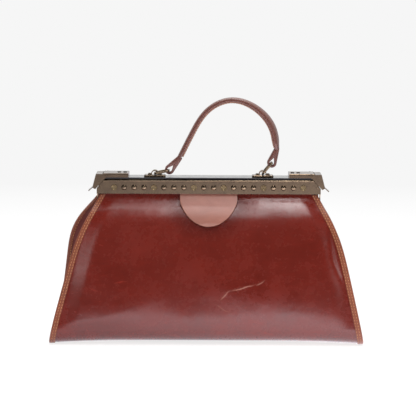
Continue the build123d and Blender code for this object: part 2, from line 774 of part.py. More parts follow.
# ---- handle plates, bridge loops and their rivets ----
handle_plate_top = plate_top_z + handle_plate_size[2]
for side, name in ((-1, "left"), (1, "right")):
    feet = [(side * handle_x - foot_x, 0), (side * handle_x + foot_x, 0)]
    with BuildPart() as handle_plate:
        with BuildSketch(Plane.XY.offset(plate_top_z)):
            with Locations((side * handle_x, 0)):
                RectangleRounded(handle_plate_size[0], handle_plate_size[1], 2.5)
        extrude(amount=handle_plate_size[2])
        chamfer(handle_plate.faces().sort_by(Axis.Z)[-1].edges(), 0.7)
        with BuildSketch(Plane.XY.offset(plate_top_z)):
            with Locations(*feet):
                Circle(handle_rivet_radius)
        extrude(amount=handle_plate_size[2], mode=Mode.SUBTRACT)
    write(handle_plate.part, f"{name}_handle_plate")

    with BuildPart() as bridge:
        with BuildSketch(Plane.XZ.offset(-bridge_width / 2)):
            room_half, room_high = bridge_room[0] / 2, bridge_room[1]
            with Locations((side * handle_x, handle_plate_top)):
                Rectangle(2 * (room_half + bridge_foot + bridge_thick / 2), bridge_thick,
                          align=(Align.CENTER, Align.MIN))
                Rectangle(2 * (room_half + bridge_thick), room_high - room_half,
                          align=(Align.CENTER, Align.MIN))
            with Locations((side * handle_x, handle_plate_top + room_high - room_half)):
                Circle(room_half + bridge_thick)
                Circle(room_half, mode=Mode.SUBTRACT)
            with Locations((side * handle_x, handle_plate_top)):
                Rectangle(2 * room_half, room_high - room_half, align=(Align.CENTER, Align.MIN),
                          mode=Mode.SUBTRACT)
            with Locations((side * handle_x, handle_plate_top)):
                Rectangle(far, far, align=(Align.CENTER, Align.MAX), mode=Mode.SUBTRACT)
        extrude(amount=bridge_width)
        with BuildSketch(Plane.XY.offset(handle_plate_top)):
            with Locations(*feet):
                Circle(handle_rivet_radius)
        extrude(amount=bridge_thick, mode=Mode.SUBTRACT)
    write(bridge.part, f"{name}_bridge_loop")

with BuildPart() as handle_rivets:
    foot_top = handle_plate_top + bridge_thick
    with BuildSketch(Plane.XY.offset(plate_under_z)):
        with Locations(*handle_rivet_places):
            Circle(handle_rivet_radius)
    extrude(amount=foot_top - plate_under_z)
    for z, way in ((foot_top, 1), (plate_under_z, -1)):
        with BuildSketch(Plane.XY.offset(z)):
            with Locations(*handle_rivet_places):
                Circle(handle_rivet_head)
        extrude(amount=way * 0.7, taper=20)
write(handle_rivets.part, "handle_rivets")

# ---- rings: a rounded rectangle of round wire, hinged under the bridge loop ----
ring_bar_z = handle_plate_top + wire_radius + 0.6
handle_bars = {}
for side, name, angle in ((-1, "left", left_ring_angle), (1, "right", right_ring_angle)):
    along = Vector(cosine(angle), 0, sine(angle))
    pivot = Vector(side * handle_x, 0, ring_bar_z)
    ring_plane = Plane(origin=pivot + along * (ring_reach / 2), x_dir=along,
                       z_dir=Vector(sine(angle), 0, -cosine(angle)))
    with BuildPart() as ring:
        with BuildLine(ring_plane) as ring_route:
            Polyline((-ring_reach / 2, 0), (-ring_reach / 2, ring_half_width),
                     (ring_reach / 2, ring_half_width), (ring_reach / 2, -ring_half_width),
                     (-ring_reach / 2, -ring_half_width), (-ring_reach / 2, 0))
            ring_centre = pivot + along * (ring_reach / 2)
            fillet(ring_route.vertices().sort_by_distance(ring_centre)[-4:], ring_corner)
        with BuildSketch(Plane(origin=pivot, z_dir=(0, 1, 0))):
            Circle(wire_radius)
        sweep()
    write(ring.part, f"{name}_ring")
    bar = pivot + along * ring_reach
    handle_bars[name] = (bar.X, bar.Z)

# ---- handle: an outer strap folded over a core, with an inner lining ----
handle_curve = Spline(*handle_route)


def beside_handle(share, out):
    """A point at a share of the handle's length, moved outward from its middle line."""
    spot = handle_curve @ share
    way = handle_curve % share
    return (spot.X - way.Y * out, spot.Y + way.X * out)


def handle_band(low, high, start=0.0, end=1.0):
    """A face that follows the handle between two distances from its middle line."""
    shares = [start + (end - start) * n / handle_samples for n in range(handle_samples + 1)]
    with BuildSketch() as band:
        with BuildLine():
            outer = Spline(*[beside_handle(t, high) for t in shares])
            inner = Spline(*[beside_handle(t, low) for t in shares])
            Line(outer @ 0, inner @ 0)
            Line(outer @ 1, inner @ 1)
        make_face()
    return band.sketch_local


core_low = -core_thick / 2
core_high = core_thick / 2
strap_high = core_high + sewn_gap + strap_thick
bar_rest = eye_radius - wire_radius - layer_gap   # how far the bar sits below the eye's centre


def end_loop(name, share):
    """The strap's end, doubled back round the ring's bar: a teardrop with an eye."""
    bar = Vector(*handle_bars[name])
    outer_spot = Vector(*beside_handle(share, strap_high))
    tail_spot = Vector(*beside_handle(share, strap_high - loop_end_thick))
    toward = ((outer_spot + tail_spot) * 0.5 - bar).normalized()
    centre = bar + toward * (bar_rest if name == "left" else 0.0)
    tip = centre + toward * (eye_length - eye_radius)
    with BuildSketch() as eye:
        with BuildLine():
            CenterArc(centre, eye_radius, 0, 360)
            Line(tip, tip + toward * 0.2)
        make_hull()
    with BuildSketch() as loop:
        with BuildLine():
            CenterArc(centre, eye_radius + loop_thick, 0, 360)
            Line(outer_spot, tail_spot)
        make_hull()
        add(eye.sketch_local, mode=Mode.SUBTRACT)
    return loop.sketch_local


strap_section = handle_band(core_low, strap_high)
hollow_section = handle_band(core_low - 2, core_high + sewn_gap)
left_loop_section = end_loop("left", 0.006)
right_loop_section = end_loop("right", 0.994)
with BuildPart() as handle_strap:
    with BuildSketch(Plane.XZ):
        add(strap_section)
    extrude(amount=strap_half_width, both=True)
    with BuildSketch(Plane.XZ):
        add(hollow_section)
    extrude(amount=core_half_width + sewn_gap, both=True, mode=Mode.SUBTRACT)
    with BuildSketch(Plane.XZ):
        add(left_loop_section)
        add(right_loop_section)
    extrude(amount=loop_half_width, both=True)
write(handle_strap.part, "handle_strap")

core_section = handle_band(core_low, core_high, 0.012, 0.988)
with BuildPart() as handle_core:
    with BuildSketch(Plane.XZ):
        add(core_section)
    extrude(amount=core_half_width, both=True)
write(handle_core.part, "handle_core")

lining_section = handle_band(core_low - sewn_gap - handle_lining_thick, core_low - sewn_gap,
                             0.02, 0.98)
with BuildPart() as handle_lining:
    with BuildSketch(Plane.XZ):
        add(lining_section)
    extrude(amount=handle_lining_half_width, both=True)
write(handle_lining.part, "handle_lining")

print("handle bars", handle_bars)
print("ring bar height", ring_bar_z, "latch pin height", latch_pin_z)
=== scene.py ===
"""A framed leather handbag: its leather, stitching, linings, metal finishes and studio.

The bag's measured frame is loaded first.  Each operator then makes one soft piece, or a
group of like pieces, or gives the metal its finish, and the last one sets up the studio.
"""
import functools
import math

import bpy
import numpy as np
from mathutils import Matrix, Vector, noise


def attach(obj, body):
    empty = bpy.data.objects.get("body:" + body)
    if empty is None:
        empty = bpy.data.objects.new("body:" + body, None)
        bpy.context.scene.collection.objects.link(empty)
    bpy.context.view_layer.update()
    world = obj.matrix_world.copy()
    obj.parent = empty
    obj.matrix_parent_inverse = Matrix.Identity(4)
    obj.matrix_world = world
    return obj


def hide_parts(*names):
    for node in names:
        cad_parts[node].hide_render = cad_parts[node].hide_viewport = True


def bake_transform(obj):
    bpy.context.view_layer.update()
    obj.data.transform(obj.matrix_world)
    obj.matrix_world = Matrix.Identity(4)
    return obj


bl_info = {
    "name": "Framed Handbag",
    "version": (1, 0, 0),
    "blender": (4, 5, 0),
    "location": "3D View > Sidebar > Handbag",
    "description": "Makes the leather, stitching, finishes and studio of a framed handbag",
    "category": "Add Mesh",
}

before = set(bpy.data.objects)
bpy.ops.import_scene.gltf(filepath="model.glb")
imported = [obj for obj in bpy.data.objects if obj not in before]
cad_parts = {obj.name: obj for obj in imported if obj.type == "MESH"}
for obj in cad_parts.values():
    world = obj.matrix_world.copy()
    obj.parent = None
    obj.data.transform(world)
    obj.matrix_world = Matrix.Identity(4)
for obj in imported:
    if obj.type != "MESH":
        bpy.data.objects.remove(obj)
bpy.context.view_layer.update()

MM = 0.001

# The leather's side profile in millimetres, from the frame down to the middle of the base:
# arcs as radius and turn in degrees, after a straight throat.
THROAT_TOP = (-15.6, 190.0)
THROAT_LENGTH = 12.0
PROFILE_ARCS = ((22.0, 50.0), (42.0, -30.0), (477.8, -15.1), (18.0, -94.9))

# Height, half length of the front panel, the rear panel's bulge beyond it at the left and
# at the right end, the inward fold of the end panels and the bag's lean to the left.
END_LEVELS = (
    (0.0, 187.0, 0.0, 0.0, 0.5, 2.2),
    (25.0, 181.96, 0.6, 0.4, 1.0, 2.1),
    (52.0, 175.59, 2.6, 0.8, 3.0, 1.6),
    (80.0, 168.7, 6.0, 1.2, 8.0, 1.0),
    (104.0, 162.57, 9.3, 1.8, 17.0, 0.6),
    (127.0, 155.21, 11.8, 1.0, 29.0, 0.3),
    (150.0, 144.27, 9.8, 0.2, 29.0, 0.1),
    (177.3, 129.1, 1.8, 0.0, 24.0, 0.0),
    (192.0, 123.31, 0.0, 0.0, 22.0, 0.0),
)
FRAME_EDGE_Z = 177.3
BINDING_TOP_Z = 176.3
SIDES = (("front", -1), ("rear", 1))
ENDS = (("left", -1), ("right", 1))

# The handle's middle line, as length along the bag and height.
HANDLE_ROUTE = ((-35.3, 218.2), (-19.2, 250.2), (-2.3, 275.3), (24.6, 288.5),
                (54.9, 280.2), (76.9, 254.5), (81.6, 228.5))
HANDLE_BARS = {"left": (-48.31, 203.84), "right": (75.93, 213.62)}
CORE_HALF = 1.45

# Leather layers under the outer face, and the seam inside each binding.
LINING_DEPTH = 2.3
LINING_THICKNESS = 0.8
GUSSET_INSET = 3.7
GUSSET_SEAM = 5.0
STITCH_LENGTH = 2.5

# The front tab: its top behind the frame, where it starts to round, its foot, its thickness,
# and how far forward it hangs at the frame and how much further at its foot.
TAB_TOP_Z = 188.0
TAB_ROUND_Z = FRAME_EDGE_Z - 6.0
TAB_FOOT_Z = 139.4
TAB_THICKNESS = 1.75
TAB_HANG = 17.8
TAB_HANG_FURTHER = 25.4

# The latch springs: the pin's place, and the coil's radius, half length, wire and turns.
LATCH_PIN = (122.8, 199.1)
SPRING_RADIUS = 1.35
SPRING_HALF_LENGTH = 5.6
SPRING_WIRE = 0.5
SPRING_LEG = 10.0
SPRING_TURNS = 8
STEPS_IN_A_TURN = 14

BACKGROUND = "F6F6F6"
PHOTO_PIXELS = 416


def linear(code):
    """A colour written as an sRGB hex code, as Blender's linear red, green, blue and alpha."""
    shares = [int(code[n:n + 2], 16) / 255 for n in (0, 2, 4)]
    return [c / 12.92 if c <= 0.04045 else ((c + 0.055) / 1.055) ** 2.4 for c in shares] + [1.0]


def colour_setting(label, code, description):
    """A colour that the user may change."""
    return bpy.props.FloatVectorProperty(name=label, description=description, subtype="COLOR",
                                         size=4, min=0, max=1, default=linear(code))


def length_setting(label, millimetres, description):
    """A length that the user may change."""
    return bpy.props.FloatProperty(name=label, description=description, unit="LENGTH",
                                   min=0, default=millimetres * MM)


class HandbagLeather(bpy.types.PropertyGroup):
    """Sizes and colours of the leather pieces."""
    thickness: length_setting("Leather", 2.0, "Thickness of the body leather")
    binding_width: length_setting("Binding width", 6.0, "Width of the edge binding's face")
    tab_half_width: length_setting("Tab half width", 34.4, "Half the width of the front tab")
    slack: length_setting("Slack", 1.5, "How far the leather swells and sinks between its seams")
    base_arch: length_setting("Base arch", 2.8, "How far the base rises in the middle")
    stitch_pitch: length_setting("Stitch pitch", 3.4, "From one stitch to the next")
    # The tab's colour is paler than the body's as a painted sheen: it stands in for the overhead
    # light that the tab reflects.
    tab: colour_setting("Tab leather", "905C4F", "Front tab leather, painted paler as its sheen")
    body: colour_setting("Body leather", "661A10", "Dyed and glazed body leather")
    binding: colour_setting("Binding leather", "7A3A20", "Tanned edge binding")
    handle: colour_setting("Handle leather", "5E3228", "Handle's outer leather")
    handle_lining: colour_setting("Handle lining", "9A7060", "Pale leather under the handle")
    lining: colour_setting("Lining", "7A5A42", "Napped lining of the bag")
    thread: colour_setting("Thread", "BA825A", "Waxed sewing thread")


class HandbagMetal(bpy.types.PropertyGroup):
    """Colours of the metal fittings."""
    brass: colour_setting("Antique brass", "5A4D40", "Brass with a dark antique finish")
    rubbed: colour_setting("Rubbed brass", "8C7860", "Brass where the dark finish has worn")
    enamel: colour_setting("Enamel", "0C0B0B", "Black enamel of the top plate")


class HandbagStudio(bpy.types.PropertyGroup):
    """The studio's camera and lights."""
    lens: bpy.props.FloatProperty(name="Lens", description="Focal length of the camera in mm",
                                  default=178.4, min=20)
    camera_distance: bpy.props.FloatProperty(name="Distance", unit="LENGTH", default=2.5,
                                             description="From the bag's middle to the camera")
    camera_height: bpy.props.FloatProperty(name="Camera angle", subtype="ANGLE",
                                           default=math.radians(7.0),
                                           description="How far the camera looks down")
    key_power: bpy.props.FloatProperty(name="Key light", default=12.0, unit="POWER",
                                       description="Power of the large lamp overhead")


# ---- the body's measured shape ----
def natural_spline(knots, values):
    """A smooth curve through values at rising knots, as a function of one number."""
    knots, values = np.array(knots, float), np.array(values, float)
    if values.ndim == 1:
        values = values[:, None]
    count, gaps = len(knots), np.diff(knots)
    matrix, right = np.eye(count), np.zeros_like(values)
    for n in range(1, count - 1):
        matrix[n, n - 1:n + 2] = gaps[n - 1], 2 * (gaps[n - 1] + gaps[n]), gaps[n]
        right[n] = 6 * ((values[n + 1] - values[n]) / gaps[n]
                        - (values[n] - values[n - 1]) / gaps[n - 1])
    bend = np.linalg.solve(matrix, right)

    def at(t):
        n = int(min(max(np.searchsorted(knots, t) - 1, 0), count - 2))
        h, a, b = gaps[n], knots[n + 1] - t, t - knots[n]
        return ((bend[n] * a ** 3 + bend[n + 1] * b ** 3) / (6 * h)
                + (values[n] / h - bend[n] * h / 6) * a
                + (values[n + 1] / h - bend[n + 1] * h / 6) * b)
    return at


level_at = natural_spline([level[0] for level in END_LEVELS],
                          [level[1:] for level in END_LEVELS])


def half_length(z, side, end):
    """The bag's length from its middle at a height, on its front (-1) or rear (1) and towards
    its left (-1) or right (1) end."""
    length, bulge_left, bulge_right, _, _ = level_at(max(z, 0.0))
    bulge = bulge_left if end < 0 else bulge_right
    return length + (bulge if side > 0 else 0.0)


def profile_runs():
    """The side profile's runs: length, start, start angle and bend per millimetre."""
    y, z = THROAT_TOP
    angle = 0.0
    runs = [(THROAT_LENGTH, y, z, angle, 0.0)]
    z -= THROAT_LENGTH
    for radius, turn in PROFILE_ARCS:
        turn = math.radians(turn)
        bend = math.copysign(1 / radius, turn)
        runs.append((radius * abs(turn), y, z, angle, bend))
        end = angle + turn
        y += (math.cos(end) - math.cos(angle)) / bend
        z -= (math.sin(end) - math.sin(angle)) / bend
        angle = end
    runs.append((-y, y, z, angle, 0.0))
    return runs


PROFILE = profile_runs()
PROFILE_LENGTH = sum(run[0] for run in PROFILE)


def profile_at(s):
    """Depth, height and heading angle of the leather's outer face, s mm along its profile."""
    for length, y, z, angle, bend in PROFILE:
        if s <= length or (length, y, z, angle, bend) == PROFILE[-1]:
            break
        s -= length
    if bend == 0:
        return y - math.sin(angle) * s, z - math.cos(angle) * s, angle
    end = angle + bend * s
    return (y + (math.cos(end) - math.cos(angle)) / bend,
            z - (math.sin(end) - math.sin(angle)) / bend, end)


def profile_distance(height):
    """How far along the profile it first falls to a height."""
    low, high = 0.0, PROFILE_LENGTH
    for _ in range(40):
        middle = (low + high) / 2
        if profile_at(middle)[1] > height:
            low = middle
        else:
            high = middle
    return low


def smooth(t):
    """A share from 0 to 1, eased at both ends."""
    t = min(max(t, 0.0), 1.0)
    return t * t * (3 - 2 * t)


def slack_at(x, z, side):
    """How far the leather stands out of its measured shape, in millimetres."""
    setting = bpy.context.scene.handbag_leather
    reach = half_length(z, side, x)
    share = min(abs(x) / reach, 1.0)
    below_frame = FRAME_EDGE_Z - 1 - z
    fade = smooth(below_frame / 26) * smooth(z / 40)
    broad = noise.noise(Vector((x / 78, z / 52, 7.3 + 4 * side)))
    folds = noise.noise(Vector((x / 31, z / 47, 2.1 + 5 * side)))
    # The panel is fullest inside its bindings, which hold it in.
    held = 2.0 * smooth((share - 0.84) / 0.13)
    swell = 1.3 - held + (1.1 * broad + 0.4 * folds) * (1 - 0.6 * share ** 2)
    # It puffs out under the frame except beneath the tab, and a crease runs beside the
    # right binding.
    clear_of_tab = 1.0 if side > 0 else 0.15 + 0.85 * smooth((abs(x) - 22) / 44)
    puff = 2.6 * math.exp(-((z - 164) / 7.5) ** 2) * clear_of_tab * (1 - smooth(share * 5 - 4))
    puff *= 1 - 0.75 * smooth(-x / 50)
    bow = smooth(1 - abs(z - 102) / 42)
    crease_at = reach - setting.binding_width / MM - 1.5 - 6.5 * bow
    crease = 0.8 * bow * math.exp(-((x - crease_at) / 2.4) ** 2) if side < 0 else 0.0
    return setting.slack / MM * swell * fade + puff + crease - turn_under(x, z)


def turn_under(x, z):
    """How far the panel is drawn in towards the base, where it turns under, in millimetres."""
    rise = bpy.context.scene.handbag_leather.base_arch / MM
    ends = max(0.0, 1 - (x / 176) ** 4)
    start = 66 + 0.12 * x + 18 * smooth((x - 50) / 90) - 18 * smooth((-x - 50) / 80)
    return rise * ends * min(1.0, max(0.0, start - z) / (start - 20)) ** 1.5


def on_body(x, s, out, side, shift=0.0):
    """The point of a leather layer at a length, a distance down the profile and a height
    out of the leather's face.  A shift moves it along the bag after it has been placed."""
    y, z, angle = profile_at(s)
    out += slack_at(x, z, side)
    y -= math.cos(angle) * out
    height = z + math.sin(angle) * out
    lean = level_at(min(max(height, 0.0), 192.0))[4]
    return Vector(((x + shift - lean) * MM, -side * y * MM, height * MM))


# ---- modelling helpers ----
def deselect_all():
    """Leave edit mode and let go of everything."""
    if bpy.context.object and bpy.context.object.mode != "OBJECT":
        bpy.ops.object.mode_set(mode="OBJECT")
    bpy.ops.object.select_all(action="DESELECT")


def pick(piece):
    """Make a piece the only one that the next operators act on."""
    deselect_all()
    piece.select_set(True)
    bpy.context.view_layer.objects.active = piece


def edit_all(piece):
    """Enter edit mode on a piece with all of it selected."""
    pick(piece)
    bpy.ops.object.mode_set(mode="EDIT")
    bpy.ops.mesh.select_all(action="SELECT")


def modify(piece, kind, **values):
    """Add a modifier, set it and apply it."""
    pick(piece)
    bpy.ops.object.modifier_add(type=kind)
    modifier = piece.modifiers[-1]
    for name, value in values.items():
        setattr(modifier, name, value)
    bpy.ops.object.modifier_apply(modifier=modifier.name)


def laid_grid(name, columns, rows, place, flip=False):
    """A grid primitive laid on a surface that place(u, v) gives for shares u and v."""
    deselect_all()
    bpy.ops.mesh.primitive_grid_add(x_subdivisions=columns, y_subdivisions=rows, size=1)
    piece = bpy.context.object
    piece.name = name
    for vertex in piece.data.vertices:
        vertex.co = place(vertex.co.x + 0.5, vertex.co.y + 0.5)
    edit_all(piece)
    bpy.ops.mesh.remove_doubles(threshold=0.00002)
    if flip:
        bpy.ops.mesh.flip_normals()
    bpy.ops.object.mode_set(mode="OBJECT")
    return piece


def thicken(piece, millimetres, edge=0.5):
    """Give a sheet its thickness, inward, and round its cut edges."""
    modify(piece, "SOLIDIFY", thickness=millimetres * MM, offset=-1, use_even_offset=True)
    modify(piece, "BEVEL", width=edge * MM, segments=2, limit_method="ANGLE",
           angle_limit=math.radians(55))
    pick(piece)
    bpy.ops.object.shade_smooth_by_angle(angle=math.radians(50))


def swept(name, section, stations, place, closed_ends=True):
    """A closed section carried along stations: place(point, station) gives each corner."""
    count = len(section)

    def corner(u, v):
        return place(section[round(u * count) % count], stations[round(v * (len(stations) - 1))])
    piece = laid_grid(name, count, len(stations) - 1, corner)
    edit_all(piece)
    if closed_ends:
        bpy.ops.mesh.select_all(action="DESELECT")
        bpy.ops.mesh.select_non_manifold()
        bpy.ops.mesh.fill_holes(sides=0)
        bpy.ops.mesh.select_all(action="SELECT")
    bpy.ops.mesh.normals_make_consistent(inside=False)
    bpy.ops.object.mode_set(mode="OBJECT")
    return piece


def soften(piece, millimetres):
    """Round a solid piece's edges and shade it smooth."""
    modify(piece, "BEVEL", width=millimetres * MM, segments=2, limit_method="ANGLE",
           angle_limit=math.radians(40))
    pick(piece)
    bpy.ops.object.shade_smooth_by_angle(angle=math.radians(50))


def give(piece, material, slot_name, *nodes):
    """A piece's material and the parts that it stands for, which it hides. slot_name is not
    used.
    """
    piece.data.materials.clear()
    piece.data.materials.append(material)
    if nodes:
        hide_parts(*nodes)
    return piece


def open_with_jaw(piece):
    """Bake the piece's place into its mesh."""
    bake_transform(piece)


def stitch_row(name, spots, thread_width=1.0):
    """One stitch, modelled once and set down at each spot: centre, way along and way out."""
    deselect_all()
    bpy.ops.mesh.primitive_uv_sphere_add(segments=6, ring_count=5, radius=0.5)
    first = bpy.context.object
    first.scale = (STITCH_LENGTH * MM, thread_width * MM, thread_width * MM)
    bpy.ops.object.transform_apply(location=False, rotation=False, scale=True)
    shape = np.array([v.co for v in first.data.vertices])
    faces = [list(f.vertices) for f in first.data.polygons]
    corners, loops = [], []
    for centre, along, out in spots:
        along, out = along.normalized(), out.normalized()
        turn = np.array([along, out.cross(along), out])
        loops += [[n + len(corners) * len(shape) for n in face] for face in faces]
        corners.append(shape @ turn + np.array(centre))
    mesh = bpy.data.meshes.new(name)
    mesh.from_pydata(np.concatenate(corners).tolist(), [], loops)
    bpy.data.objects.remove(first)
    row = bpy.data.objects.new(name, mesh)
    bpy.context.scene.collection.objects.link(row)
    pick(row)
    bpy.ops.object.shade_smooth()
    return row


def wire(name, points, radius):
    """A round wire along points, as a mesh."""
    curve = bpy.data.curves.new(name, "CURVE")
    curve.dimensions = "3D"
    curve.bevel_depth = radius * MM
    curve.bevel_resolution = 2
    curve.use_fill_caps = True
    line = curve.splines.new("POLY")
    line.points.add(len(points) - 1)
    for spot, point in zip(line.points, points):
        spot.co = (*[c * MM for c in point], 1)
    piece = bpy.data.objects.new(name, curve)
    bpy.context.scene.collection.objects.link(piece)
    pick(piece)
    bpy.ops.object.convert(target="MESH")
    bpy.ops.object.shade_smooth_by_angle(angle=math.radians(60))
    return bpy.context.object


# ---- materials ----
# Sockets go by the nodes' own names or numbers.  Map Range takes 0, a number, from the range
# 1 to 2 into the range 3 to 4, which are 0 and 1 if not given.  Mix takes 0, a share, between
# the colours 6 and 7.
COLOURS = {"output": 2, "data_type": "RGBA"}


def connect(made, sockets):
    """Give a node's sockets their values, or link them to other nodes' outputs."""
    for socket, value in sockets.items():
        if isinstance(value, bpy.types.NodeSocket):
            made.id_data.links.new(value, made.inputs[socket])
        else:
            made.inputs[socket].default_value = value


def add_node(tree, kind, sockets=None, output=0, **settings):
    """Add a shader node with its settings, values and links, and give one of its outputs."""
    made = tree.nodes.new(kind)
    for name, value in settings.items():
        setattr(made, name, value)
    connect(made, sockets or {})
    return made.outputs[output]


def new_material(name, sockets):
    """A material, what adds nodes to it, its shader and its place coordinates."""
    material = bpy.data.materials.new(name)
    material.use_nodes = True
    shader = material.node_tree.nodes["Principled BSDF"]
    connect(shader, sockets)
    add = functools.partial(add_node, material.node_tree)
    return material, add, shader, add("ShaderNodeTexCoord", output="Object")


def shaded(colour, share):
    """A colour made darker or lighter by a factor."""
    return [min(1.0, c * share) for c in colour[:3]] + [1.0]


# Scratches on the front: place along the bag, height, slope in degrees, half length, half
# width and strength.
RUBBED_SCRATCHES = ((-104, 75, 10, 9, 1.3, 0.6), (-136, 66, -22, 6, 1.0, 0.45),
                    (-128, 118, -10, 5, 1.0, 0.4), (60, 28, 4, 16, 0.7, 0.3))
PALE_SCRATCHES = ((20, 60, 46, 10, 1.0, 0.95), (41, 69, 14, 18, 1.0, 0.95),
                  (62, 75, 34, 7, 1.0, 0.8), (18, 44, -30, 14, 0.7, 0.5))


def scratch(add, place, x, z, angle, length, width, strength):
    """The share of wear of one crooked scratch that tapers to both its ends."""
    crooked = add("ShaderNodeTexNoise", {"Vector": place, "Scale": 1 / (9 * MM)}, "Color")
    moved = add("ShaderNodeVectorMath", {0: crooked, 1: (0.004, 0, 0.004), 2: place},
                operation="MULTIPLY_ADD")
    across = add("ShaderNodeMapping", {
        "Vector": moved, "Location": (x * MM + 0.002, -0.065, z * MM + 0.002),
        "Rotation": (0, -math.radians(angle), 0), "Scale": (length * MM, 0.05, width * MM)},
        vector_type="TEXTURE")
    from_middle = add("ShaderNodeVectorMath", {0: across}, "Value", operation="LENGTH")
    return add("ShaderNodeMapRange", {0: from_middle, 1: 1.0, 2: 0.3, 4: strength})


def leather_wear_and_painted_shade(add, place, colour, base, wear):
    """Glazed leather's streaks, a painted shadow round the tab, rub marks and scratches: the new
    colour and the share that is worn."""
    # Glazing leaves fine level streaks, drawn coarse enough to show.
    level = add("ShaderNodeMapping", {"Vector": place, "Scale": (0.12, 1, 1)})
    streaks = add("ShaderNodeTexNoise", {"Vector": level, "Scale": 1 / (2.6 * MM),
                                         "Detail": 3.0, "Roughness": 0.6})
    base = add("ShaderNodeMix", {
        0: add("ShaderNodeMapRange", {0: streaks, 1: 0.45, 2: 0.75, 4: 0.22}),
        6: base, 7: shaded(colour, 1.5)}, **COLOURS)
    # A dark patch round the tab stands in for the soft shadow that the tab casts in the
    # photograph.  It has no front or rear, so the rear panel shows it too.
    painted_tab_shadow_place = add("ShaderNodeMapping", {"Vector": place, "Location": (0, -0.04, 0.1655),
                                          "Scale": (0.045, 0.2, 0.0355)},
                    vector_type="TEXTURE")
    painted_tab_shadow_distance = add("ShaderNodeVectorMath", {0: painted_tab_shadow_place}, "Value", operation="LENGTH")
    base = add("ShaderNodeMix", {
        0: add("ShaderNodeMapRange", {0: painted_tab_shadow_distance, 1: 0.75, 2: 1.25, 3: 0.6, 4: 0.0}),
        6: base, 7: shaded(colour, 0.4)}, **COLOURS)
    # Rub marks are long noise, stretched along the bag and stronger low down.
    stretched = add("ShaderNodeMapping", {"Vector": place, "Rotation": (0, 0.16, 0),
                                          "Scale": (1, 1, 4.5)})
    marks = add("ShaderNodeTexNoise", {"Vector": stretched, "Scale": 1 / (11 * MM),
                                       "Detail": 6.0, "Roughness": 0.7, "Distortion": 0.6})
    height = add("ShaderNodeSeparateXYZ", {"Vector": place}, "Z")
    worn = add("ShaderNodeMath", {
        0: add("ShaderNodeMapRange", {0: marks, 1: 0.6, 2: 0.7, 4: wear}),
        1: add("ShaderNodeMapRange", {0: height, 1: 0.125, 2: 0.03, 3: 0.12})},
        operation="MULTIPLY")
    for numbers in RUBBED_SCRATCHES:
        worn = add("ShaderNodeMath", {0: worn, 1: scratch(add, place, *numbers)},
                   operation="MAXIMUM")
    base = add("ShaderNodeMix", {0: worn, 6: base, 7: shaded(colour, 2.2)}, **COLOURS)
    for numbers in PALE_SCRATCHES:
        base = add("ShaderNodeMix", {0: scratch(add, place, *numbers), 6: base,
                                     7: linear("A87468")}, **COLOURS)
    return base, worn


def leather_finish(name, colour, grain_mm=1.1, roughness=0.42, wear=0.0, coat=0.12):
    """Dyed, glazed cowhide.  The grain is a net of small pebbles that shows as a soft
    breaking of the shine, over clouded dye that is darker in the hollows and paler where
    the surface has rubbed."""
    material, add, shader, place = new_material(
        name, {"IOR": 1.5, "Coat Weight": coat, "Coat Roughness": 0.28})
    clouds = add("ShaderNodeTexNoise", {"Vector": place, "Scale": 1 / (45 * MM),
                                        "Detail": 4.0, "Roughness": 0.6})
    mottle = add("ShaderNodeTexNoise", {"Vector": place, "Scale": 1 / (7 * MM),
                                        "Detail": 3.0, "Roughness": 0.65})
    base = add("ShaderNodeMix", {
        0: add("ShaderNodeMapRange", {0: clouds, 1: 0.35, 2: 0.68}),
        6: shaded(colour, 0.84), 7: shaded(colour, 1.1)}, **COLOURS)
    base = add("ShaderNodeMix", {
        0: add("ShaderNodeMapRange", {0: mottle, 1: 0.4, 2: 0.8, 4: 0.14}),
        6: base, 7: shaded(colour, 1.4)}, **COLOURS)
    rough = add("ShaderNodeMath", {
        0: add("ShaderNodeMapRange", {0: mottle, 1: 0.3, 2: 0.7, 3: roughness - 0.03,
                                      4: roughness + 0.03}),
        1: add("ShaderNodeMapRange", {0: clouds, 1: 0.3, 2: 0.7, 3: -0.03, 4: 0.03})},
        operation="ADD")
    if wear:
        base, worn = leather_wear_and_painted_shade(add, place, colour, base, wear)
        rough = add("ShaderNodeMath", {
            0: rough, 1: add("ShaderNodeMapRange", {0: worn, 1: 0.0, 2: 1.0, 4: 0.12})},
            operation="ADD")
    pebbles = add("ShaderNodeTexVoronoi", {"Vector": place, "Scale": 1 / (grain_mm * MM)})
    pores = add("ShaderNodeTexNoise", {"Vector": place, "Scale": 1 / (0.5 * MM)})
    grain = add("ShaderNodeMath", {
        0: add("ShaderNodeMapRange", {0: pebbles, 1: 0.0, 2: 0.8, 3: 1.0, 4: 0.0}),
        1: pores}, operation="ADD")
    creases = add("ShaderNodeTexNoise", {"Vector": place, "Scale": 1 / (16 * MM),
                                         "Detail": 3.0, "Distortion": 0.4})
    fine = add("ShaderNodeBump", {"Height": grain, "Strength": 0.12, "Distance": 0.0002})
    broad = add("ShaderNodeBump", {"Height": creases, "Normal": fine, "Strength": 0.22,
                                   "Distance": 0.0012})
    connect(shader, {"Base Color": base, "Roughness": rough, "Normal": broad})
    return material


